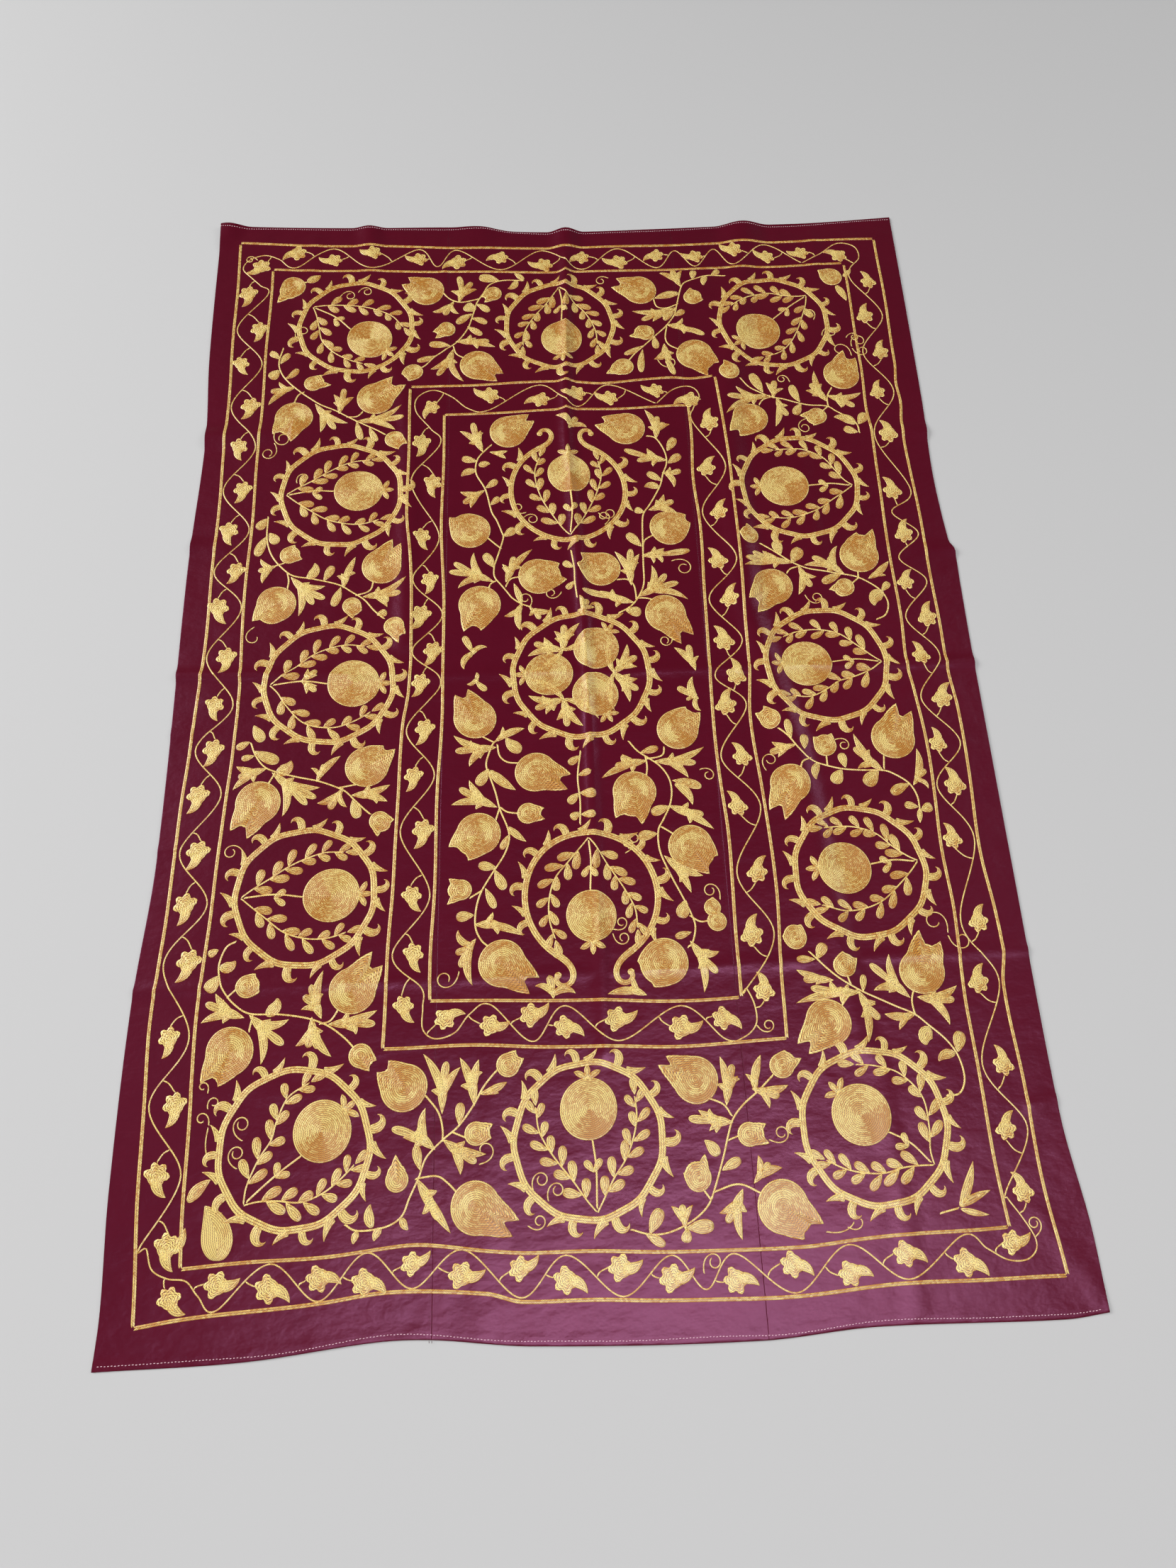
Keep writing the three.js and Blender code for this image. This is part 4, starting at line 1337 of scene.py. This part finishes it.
branch("bottomRight",
       stems=[[(262, -681), (237, -703), (212, -721), (194, -740), (184, -763), (175, -790), (159, -832),
               (147, -855), (124, -873), (92, -886), (64, -888), (34, -880)],
              [(162, -710), (182, -719), (191, -733)], [(222, -842), (194, -830), (161, -837)],
              [(200, -764), (187, -768)], [(142, -834), (150, -845)]],
       fruits=[(143, -682, 35, (88, -659), (101, -646)), (255, -862, 37, (311, -886), (281, -906))],
       buds=[(275, -669, 19, (282, -646), (306, -659)), (216, -763, 18, (243, -749), (245, -777)),
             (136, -818, 19, (147, -785), (114, -810))],
       drops=[(147, -766, 167, -791, 18, -30), (170, -811, 201, -797, 16, -14), (62, -888, 81, -854, 20, 0),
              (55, -886, 84, -904, 14, 0), (113, -882, 155, -882, 21, 0), (116, -882, 112, -903, 16, 0)],
       hands=[((187, -718), (183, -649), (202, -662), (209, -680)), ((232, -703), (245, -651), (219, -678)),
              ((230, -701), (282, -697), (268, -712), (250, -729)),
              ((191, -744), (126, -735), (142, -724), (156, -755)),
              ((218, -828), (225, -792), (242, -803), (259, -811)),
              ((198, -839), (162, -866), (172, -880), (194, -904)),
              ((113, -882), (94, -852), (110, -850), (126, -852))],
       coils=[(243, -771, -30, 52, 1.3), (312, -896, -12, 30, 0.2), (344, -891, -35, 22, 0.5)])
branch("innerUpperLeft",
       stems=[[(-147, 470), (-158, 460), (-176, 437), (-179, 405), (-162, 368), (-151, 322), (-141, 301),
               (-132, 276), (-129, 265), (-135, 242), (-142, 221), (-147, 205), (-147, 184), (-135, 166),
               (-125, 152), (-116, 140), (-100, 129), (-82, 122)], [(-155, 262), (-146, 253), (-136, 244)],
              [(-103, 183), (-118, 179), (-126, 166)], [(-157, 163), (-154, 170), (-147, 174)]],
       fruits=[(-116, 497, 36, (-76, 536), (-66, 520)), (-188, 281, 36, (-226, 312), (-206, 316)),
               (-68, 184, 36, (-17, 177), (-29, 211)), (-174, 129, 37, (-201, 76), (-172, 77))],
       drops=[(-176, 432, -206, 440, 16, 0), (-163, 372, -140, 390, 15, 20), (-129, 266, -106, 283, 18, 0),
              (-147, 202, -165, 233, 18, 14), (-153, 335, -136, 352, 14, 0)],
       blades=[(-179, 410, -206, 398, 16, 80), (-174, 420, -152, 426, 15, -60),
               (-100, 129, -113, 171, 13, 10)],
       hands=[((-167, 456), (-208, 500), (-183, 520), (-168, 502)), ((-150, 452), (-118, 454), (-122, 436)),
              ((-166, 366), (-208, 366), (-202, 340), (-188, 330)),
              ((-151, 175), (-182, 236), (-219, 217), (-228, 198), (-212, 162)),
              ((-126, 175), (-76, 240), (-110, 226), (-133, 210)), ((-100, 128), (-132, 105), (-104, 78)),
              ((-84, 120), (-88, 106), (-68, 98), (-48, 115)),
              ((-185, 34), (-201, 68), (-160, 44), (-199, 2)),
              ((-180, -18), (-179, -4), (-196, -24), (-161, -36))],
       coils=[(-86, 122, 60, 42, 1.1), (-96, 300, 60, 46, -1.2), (-28, 152, -120, 44, -1.2)])
branch("innerLowerLeft",
       stems=[[(-124, -114), (-151, -130), (-160, -148), (-165, -171), (-158, -194), (-149, -221),
               (-142, -249), (-130, -281), (-128, -302), (-137, -327), (-160, -360), (-176, -387),
               (-183, -415), (-183, -443), (-174, -463), (-162, -474)],
              [(-146, -138), (-143, -155), (-130, -167), (-116, -169)],
              [(-113, -257), (-130, -254), (-139, -247)], [(-148, -263), (-144, -251)],
              [(-190, -392), (-178, -385)], [(-169, -122), (-156, -129)]],
       fruits=[(-183, -88, 36, (-194, -33), (-216, -44)), (-83, -187, 35, (-25, -194), (-31, -220)),
               (-177, -289, 36, (-226, -310), (-195, -334)), (-142, -500, 37, (-99, -548), (-84, -523))],
       buds=[(-96, -258, 18, (-69, -250), (-68, -269)), (-206, -380, 17, (-226, -361), (-228, -403))],
       drops=[(-160, -177, -179, -208, 19, 0), (-149, -348, -180, -341, 16, 0),
              (-153, -350, -137, -384, 18, 10), (-169, -378, -153, -414, 14, 0),
              (-185, -422, -214, -424, 18, 0), (-129, -293, -142, -319, 12, 0),
              (-132, -122, -104, -146, 22, 60)],
       blades=[(-160, -180, -115, -218, 17, 20), (-130, -279, -99, -307, 13, 14)],
       hands=[((-148, -128), (-137, -103), (-99, -108)),
              ((-151, -140), (-219, -118), (-216, -146), (-192, -174)),
              ((-149, -244), (-192, -197), (-208, -211), (-221, -240)),
              ((-182, -438), (-157, -418), (-108, -459)),
              ((-184, -462), (-209, -444), (-214, -480), (-206, -503), (-187, -532)),
              ((-64, -552), (-70, -519), (-92, -536), (-30, -549))],
       coils=[(-207, -507, -100, 56, -1.1)])
branch("innerUpperRight",
       stems=[[(141, 483), (157, 479), (168, 465), (177, 442), (178, 419), (170, 396), (164, 373),
               (152, 350), (138, 327), (127, 311), (123, 292), (121, 251), (120, 205), (119, 163),
               (108, 136), (92, 117), (69, 104)], [(140, 262), (124, 251), (121, 232)],
              [(76, 172), (90, 172), (101, 161), (104, 143), (104, 133)],
              [(130, 131), (120, 134), (108, 134)]],
       fruits=[(105, 501, 36, (46, 510), (60, 529)), (171, 279, 36, (206, 308), (213, 290)),
               (45, 195, 35, (8, 229), (1, 207)), (154, 103, 37, (177, 42), (201, 59))],
       drops=[(180, 447, 197, 478, 18, 0), (180, 419, 206, 440, 18, 0), (168, 380, 139, 399, 16, 0),
              (128, 312, 110, 320, 15, 0), (119, 239, 93, 268, 18, 0), (83, 110, 112, 106, 20, 0)],
       blades=[(160, 364, 132, 366, 16, 90)],
       hands=[((161, 479), (142, 544), (166, 528), (190, 507)),
              ((176, 427), (99, 454), (142, 455), (122, 426), (152, 412)),
              ((171, 398), (184, 412), (205, 404), (189, 366)),
              ((139, 318), (168, 352), (186, 338), (190, 310)),
              ((97, 162), (70, 231), (99, 236), (114, 225)),
              ((121, 221), (160, 237), (207, 232), (138, 204)), ((97, 126), (8, 153), (40, 150), (70, 122)),
              ((110, 138), (134, 201), (160, 184), (182, 165), (197, 130)),
              ((196, -8), (162, 36), (189, 41), (206, 18)),
              ((196, -62), (191, -20), (162, -39), (177, -66), (202, -87)),
              ((4, 106), (30, 117), (18, 133), (2, 141)), ((-2, 500), (32, 504), (14, 528), (-28, 532))],
       coils=[(170, 210, 20, 62, -1.2), (156, 69, -60, 50, -1.3), (54, 288, 40, 44, 1.2)])
branch("innerLowerRight",
       stems=[[(74, -134), (88, -153), (108, -169), (124, -184), (136, -205), (139, -228), (134, -252),
               (122, -276), (113, -295), (114, -330), (128, -368), (145, -405), (157, -435), (161, -455),
               (154, -478), (144, -486)], [(132, -152), (128, -164), (104, -168)],
              [(101, -168), (102, -184), (99, -200)], [(134, -300), (120, -290)],
              [(157, -438), (170, -446), (184, -444)]],
       fruits=[(159, -118, 36, (175, -77), (200, -89)), (78, -226, 36, (45, -270), (88, -283)),
               (164, -324, 37, (208, -340), (192, -370)), (108, -507, 37, (66, -504), (90, -546))],
       buds=[(192, -424, 14, (194, -406)), (197, -446, 16)],
       drops=[(92, -157, 124, -149, 14, 0), (140, -210, 191, -224, 17, -20), (134, -254, 102, -264, 18, 0),
              (112, -300, 80, -303, 19, 0), (150, -410, 139, -441, 22, 0), (155, -462, 126, -470, 12, 0)],
       blades=[(144, -216, 172, -254, 16, -70)],
       hands=[((100, -172), (24, -202), (62, -158), (48, -180)),
              ((116, -174), (202, -151), (186, -180), (170, -207)),
              ((134, -254), (178, -266), (190, -270), (205, -296)), ((122, -340), (182, -372), (160, -400)),
              ((152, -478), (196, -492), (190, -526), (166, -556)), ((76, -556), (60, -526), (18, -553))],
       coils=[(189, -193, 20, 40, -1.1), (205, -412, 80, 50, 1.2), (66, -324, 120, 44, -1.2),
              (30, -458, -80, 44, 1.2)])
branch("innerCentre",
       stems=[[(-8, -150), (-15, -198), (-12, -240), (-13, -281)],
              [(-8, 232), (-4, 200), (-4, 170), (-2, 140)]],
       drops=[(-9, -160, -30, -176, 14, 0), (-15, -196, 8, -188, 13, 0), (-13, -226, -32, -244, 15, 0),
              (-13, -226, 16, -228, 17, 0), (-13, -258, -28, -270, 15, 0), (-12, -262, 14, -262, 14, 0),
              (-5, 200, -24, 214, 14, 0), (-4, 172, -20, 156, 13, 0)])
print("branches made")

# The two borders. Lines: (along, out) where each side changes course; leaves in the vine's order.
borders = {
    "outer": {
        "outside": {
            "top": [(-650, 972), (-560, 966), (-300, 958), (-170, 953), (0, 953), (180, 957), (376, 963),
                    (652, 971)],
            "left": [(-971, -650), (-900, -654), (-800, -660), (-600, -668), (-489, -665), (-396, -660),
                     (-304, -656), (-212, -655), (-141, -651), (-49, -646), (48, -643), (195, -642),
                     (540, -643), (972, -649)],
            "bottom": [(-650, -971), (-596, -965), (-499, -960), (-397, -953), (-305, -946), (-172, -952),
                       (-121, -965), (0, -968), (207, -977), (438, -968), (650, -970)],
            "right": [(-970, 650), (-836, 640), (-698, 638), (-560, 636), (-512, 644), (-443, 643),
                      (-350, 638), (-212, 642), (-95, 645), (-12, 639), (103, 640), (256, 640), (400, 638),
                      (502, 638), (553, 643), (599, 641), (649, 647), (971, 651)],
        },
        "inside": {
            "top": [(-581, 901), (-400, 895), (-170, 890), (0, 889), (180, 892), (380, 897), (576, 905)],
            "left": [(-902, -593), (-800, -597), (-581, -601), (-489, -599), (-396, -593), (-304, -589),
                     (-212, -586), (-141, -581), (-49, -578), (90, -583), (320, -581), (901, -581)],
            "bottom": [(-593, -902), (-499, -899), (-397, -896), (-287, -888), (-250, -889), (-167, -899),
                       (-107, -905), (0, -908), (184, -916), (276, -915), (369, -909), (578, -903)],
            "right": [(-904, 578), (-790, 573), (-599, 571), (-535, 573), (-443, 576), (-350, 574),
                      (-258, 577), (-141, 578), (-49, 573), (-3, 568), (90, 571), (200, 571), (299, 571),
                      (400, 574), (483, 577), (548, 573), (649, 577), (905, 577)],
        },
        "swing": 26.0,
        "leaves": {
            "top": [(491, 934), (417, 925), (350, 941), (270, 927), (191, 932), (113, 913), (39, 927),
                    (-40, 908), (-128, 928), (-215, 917), (-292, 925), (-383, 940), (-462, 925), (-535, 945)],
            "left": [(-625, 837), (-597, 748), (-627, 665), (-602, 566), (-616, 472), (-602, 377),
                     (-622, 290), (-600, 207), (-627, 133), (-605, 38), (-617, -50), (-612, -130),
                     (-630, -210), (-620, -305), (-633, -390), (-620, -480), (-637, -592), (-621, -687),
                     (-637, -781), (-614, -873)],
            "bottom": [(-540, -926), (-469, -933), (-400, -922), (-337, -931), (-273, -912), (-204, -929),
                       (-123, -924), (-59, -942), (18, -930), (90, -946), (180, -953), (262, -936),
                       (343, -951), (423, -931), (509, -945)],
            "right": [(609, -856), (598, -770), (612, -679), (596, -556), (612, -462), (596, -326),
                      (615, -232), (598, -156), (620, -73), (596, 9), (618, 85), (591, 156), (603, 256),
                      (596, 350), (609, 479), (600, 580), (622, 677), (602, 768), (622, 856)],
        },
        "corners": {
            "top": [(-570, 928), (-600, 938), (-630, 925), (-640, 902), (-622, 878), (-604, 858)],
            "left": [(-641, -873), (-632, -900), (-610, -913), (-584, -918), (-566, -938)],
            "bottom": [(540, -929), (567, -945), (594, -947), (611, -936), (613, -919), (599, -890),
                       (583, -864)],
            "right": [(588, 890), (612, 920), (606, 950), (570, 958), (530, 930)],
        },
        "cornerLeaves": [(-605, 907, 220), (-605, -940, -50), (579, -924, 10), (569, 927, 150)],
        "tendrils": [(613, -919, 30, 72, 1.3), (134, -944, 95, 80, -1.2), (-613, 925, 120, 56, 1.2)],
    },
    "inner": {
        "outside": {
            "top": [(-302, 605), (-200, 606), (-100, 612), (0, 612), (60, 608), (138, 615), (203, 618),
                    (240, 615), (287, 622)],
            "left": [(-619, -323), (-489, -319), (-396, -314), (-304, -312), (-212, -307), (-95, -304),
                     (-39, -296), (43, -291), (145, -293), (237, -297), (320, -303), (605, -302)],
            "bottom": [(-323, -618), (-200, -619), (-100, -624), (0, -628), (99, -633), (200, -631),
                       (287, -629)],
            "right": [(-630, 286), (-535, 288), (-443, 295), (-396, 296), (-304, 293), (-212, 290),
                      (-95, 283), (-3, 291), (136, 293), (299, 296), (391, 295), (483, 292), (576, 289),
                      (622, 286)],
        },
        "inside": {
            "top": [(-237, 538), (-100, 543), (0, 547), (99, 548), (200, 552), (230, 552)],
            "left": [(-551, -253), (-489, -252), (-396, -248), (-304, -246), (-212, -243), (-95, -238),
                     (43, -235), (136, -236), (228, -239), (320, -240), (540, -236)],
            "bottom": [(-254, -551), (-153, -556), (0, -560), (99, -567), (223, -565)],
            "right": [(-565, 223), (-489, 224), (-396, 227), (-304, 227), (-212, 223), (-49, 221),
                      (90, 226), (182, 227), (299, 230), (391, 226), (483, 229), (552, 229)],
        },
        "swing": 26.0,
        "leaves": {
            "top": [(167, 588), (76, 573), (14, 583), (-56, 571), (-153, 583)],
            "left": [(-279, 473), (-259, 385), (-276, 271), (-261, 182), (-275, 112), (-252, 40),
                     (-274, -20), (-266, -106), (-282, -189), (-266, -282), (-284, -388), (-279, -479)],
            "bottom": [(-161, -593), (-98, -579), (-47, -597), (32, -591), (129, -606), (194, -594)],
            "right": [(259, -556), (249, -468), (267, -368), (247, -256), (264, -170), (243, -76),
                      (267, -20), (253, 46), (268, 129), (255, 209), (266, 312), (251, 409), (264, 512)],
        },
        "corners": {
            "top": [(-190, 552), (-222, 580), (-258, 596), (-288, 580), (-290, 545), (-262, 505)],
            "left": [(-266, -530), (-264, -560), (-264, -592), (-245, -607), (-215, -600), (-192, -574)],
            "bottom": [(222, -624), (242, -606), (242, -578), (232, -552)],
            "right": [(238, 545), (252, 570), (246, 590), (228, 597), (200, 588)],
        },
        "cornerLeaves": [(-262, 556, 220), (-294, -558, -80), (-229, -578, 20), (232, 566, 170)],
        "tendrils": [(242, -606, -60, 70, 1.3)],
    },
}
ways = {"top": 180, "left": -90, "bottom": 0, "right": 90}  # heading of the leaves on each side
borderLook = {
    "line": 6.0,
    "lineTone": 0.45,
    "vine": 3.1,
    "vineTone": 0.7,
    "leaf": 15.4,
    "leafTone": 0.84,
    "lobes": (82, 136, -170, -112),
    "stalk": 2.9,
    "stalkTone": 0.8,
}


def onSide(side, along, out):
    # a point from its place along a side and its distance out
    return (along, out) if side in ("top", "bottom") else (out, along)


def borderLines(name, border, look):
    # each line is two rows wide, worked side by side, from corner to corner
    patch = Patch()
    for edge in ("outside", "inside"):
        for side, rows in border[edge].items():
            at = np.arange(rows[0][0], rows[-1][0] + 1, 5.0)
            out = follow(rows, at)
            path = np.stack(onSide(side, at, out), -1)
            ribbon(patch, path, look["line"], look["lineTone"], 2)
    patch.piece("border." + name)


def vinePath(border):
    # the vine passes each leaf on its other side: out = middle of the band -+ swing
    points = []
    for side in ("top", "left", "bottom", "right"):
        upright = side in ("left", "right")
        leaves = [(y, x) if upright else (x, y) for x, y in border["leaves"][side]]
        along = np.array([leaf[0] for leaf in leaves], float)
        middle = (follow(border["outside"][side], along) + follow(border["inside"][side], along)) / 2
        lean = np.sign(np.array([leaf[1] for leaf in leaves]) - middle)
        for k in range(len(leaves)):
            points.append(onSide(side, along[k], middle[k] - lean[k] * border["swing"]))
            if k + 1 < len(leaves) and lean[k] == lean[k + 1]:
                half = (along[k] + along[k + 1]) / 2
                out = (middle[k] + middle[k + 1]) / 2 + lean[k] * 0.7 * border["swing"]
                points.append(onSide(side, half, out))
        points += border["corners"][side]
    return curve(points + points[:1], 3.7)


def borderLeaf(patch, vine, x, y, way, look, k):
    # a leaf with four round lobes and a tail, on a short stalk that leaves the vine behind it
    tilt = way + 11 * np.sin(3.1 * k + x)
    r = look["leaf"] * (1 + 0.07 * np.sin(2.3 * k + y))
    tone = look["leafTone"] + 0.08 * np.sin(1.7 * k)
    ahead = np.array([np.cos(np.radians(tilt)), np.sin(np.radians(tilt))])
    back = np.array([x, y]) - 1.2 * r * ahead
    behind = back - 4 * ahead
    near = vine[np.argmin(np.hypot(*(vine - behind).T))]
    stalk = [near, (near + behind) / 2 + (behind - back) * 0.3, back + (back - behind) * 0.4]
    ribbon(patch, curve(stalk, 3.4), look["stalk"], look["stalkTone"])
    bend = np.sign(np.sin(2.9 * k + y))
    bumps = [(8 * bend, 0.3 * r, 60, 60, 1.5)]
    bumps += [(lobe * bend, 0.42 * r, 27, 27, 0.8) for lobe in look["lobes"]]
    blob(patch, (x, y), 0.84 * r, tone, bumps, squash=0.95, turn=tilt, base=0.1)
    bladeTo(patch, (x, y), polar((x, y), tilt + 24 * bend, 2.1 * r), 0.98 * r, 70 * bend, tone, 0.3, 0.7, 0.3)


def vineAndLeaves(name, border, look):
    # one vine round the whole band, with its leaves in charted order
    patch = Patch()
    vine = vinePath(border)
    ribbon(patch, vine, look["vine"], look["vineTone"])
    k = 0
    for side, leaves in border["leaves"].items():
        for x, y in leaves:
            borderLeaf(patch, vine, x, y, ways[side], look, k)
            k += 1
    for x, y, way in border["cornerLeaves"]:
        borderLeaf(patch, vine, x, y, way, look, k)
        k += 1
    for x, y, angle, length, turns in border["tendrils"]:
        tendril(patch, (x, y), angle, length, turns)
    patch.piece("vine." + name)


for name, border in borders.items():
    borderLines(name, border, borderLook)
    vineAndLeaves(name, border, borderLook)
print("borders made")


# Running stitches: the pale hem and the dark seams.
def runningStitches(patch, path, pitch, length, width, height, wander):
    # short arches over the cloth: lift = height * cos(pi * t), t from -0.5 to 0.5 along each stitch
    path = evenly(path, pitch)
    s, normal = frameOf(path)
    ahead = np.stack([normal[:, 1], -normal[:, 0]], -1)
    for k in range(len(path) - 1):
        size = length * (1 + 0.12 * np.sin(5.3 * k))
        place = path[k] + normal[k] * wander * np.sin(2.1 * k)
        t = np.linspace(-0.5, 0.5, 4)[:, None]
        off = np.array([-0.5, 0, 0.5])[None, :] * width * (1 - 1.6 * t * t)
        x = place[0] + ahead[k, 0] * size * t + normal[k, 0] * off
        y = place[1] + ahead[k, 1] * size * t + normal[k, 1] * off
        lift = height * np.cos(np.pi * t) * np.array([0.0, 1.0, 0.0]) - 0.15
        index = np.arange(x.size).reshape(x.shape)
        patch.add(x, y, lift, index, lambda i, j: i / 3 + 0.0 * j, 0 * x, 0.5)


sewing = {
    "hemIn": 6.4,
    "hem": (4.6, 2.9, 1.15, 1.0, 0.25),  # pitch, length, width, height and wander of a stitch
    "seamIn": 1.9,
    "seam": (5.2, 2.8, 0.7, 0.55, 0.25),
    "step": 6.0,
}


def sew(c):
    # a line of stitches along each hem and on both sides of each seam
    patch = Patch()
    for side, inward in (("bottom", 1), ("top", -1)):
        at = np.arange(-690, 691, c["step"])
        path = np.stack([at, follow(outline[side], at) + inward * (c["hemIn"] + 0.8 * np.sin(at / 60))], -1)
        runningStitches(patch, path, *c["hem"])
    for points in patch.points:
        points[:, 2] += cloth["hemThickness"]
    patch.piece("sewing.hems", hemThread, "sewing_thread")
    patch = Patch()
    for side in ("leftSeam", "rightSeam"):
        for inward in (-c["seamIn"], c["seamIn"]):
            at = np.arange(-1008, 990, c["step"])
            path = np.stack([follow(outline[side], at) + inward, at], -1)
            runningStitches(patch, path, *c["seam"])
    patch.piece("sewing.seams", seamThread, "sewing_thread")


sew(sewing)
print("stitching made")


# The studio.
studio = {
    "view": "Standard",
    "world": 0.105,
    "lights": {
        # place, target, size, power and colour
        "windowLight": ((0.58, -2.3, 5.5), (0.1, -0.4, 0), (4.0, 1.5), 240, (1.0, 0.99, 1.0)),
        "leftLight": ((-6.0, 2.2, 3.6), (0, 0.4, 0), (3.2, 3.2), 505, (1, 1, 1)),
        "rightLight": ((6.0, 2.2, 3.8), (0, 0.4, 0), (3.2, 3.2), 120, (1, 1, 1)),
    },
}


def addLight(name, place, target, size, power, colour):
    data = bpy.data.lights.new(name, "AREA")
    data.shape = "RECTANGLE"
    data.size, data.size_y = size
    data.energy = power
    data.color = colour
    light = bpy.data.objects.new(name, data)
    light.location = place
    light.rotation_euler = (Vector(target) - Vector(place)).to_track_quat("-Z", "Y").to_euler()
    bpy.context.scene.collection.objects.link(light)


def addWorld(strength):
    world = bpy.data.worlds.new("studio")
    world.use_nodes = True
    background = world.node_tree.nodes["Background"]
    background.inputs["Color"].default_value = (1, 1, 1, 1)
    background.inputs["Strength"].default_value = strength
    bpy.context.scene.world = world


bpy.context.scene.view_settings.view_transform = studio["view"]
for name, facts in studio["lights"].items():
    addLight(name, *facts)
addWorld(studio["world"])
print("studio made")
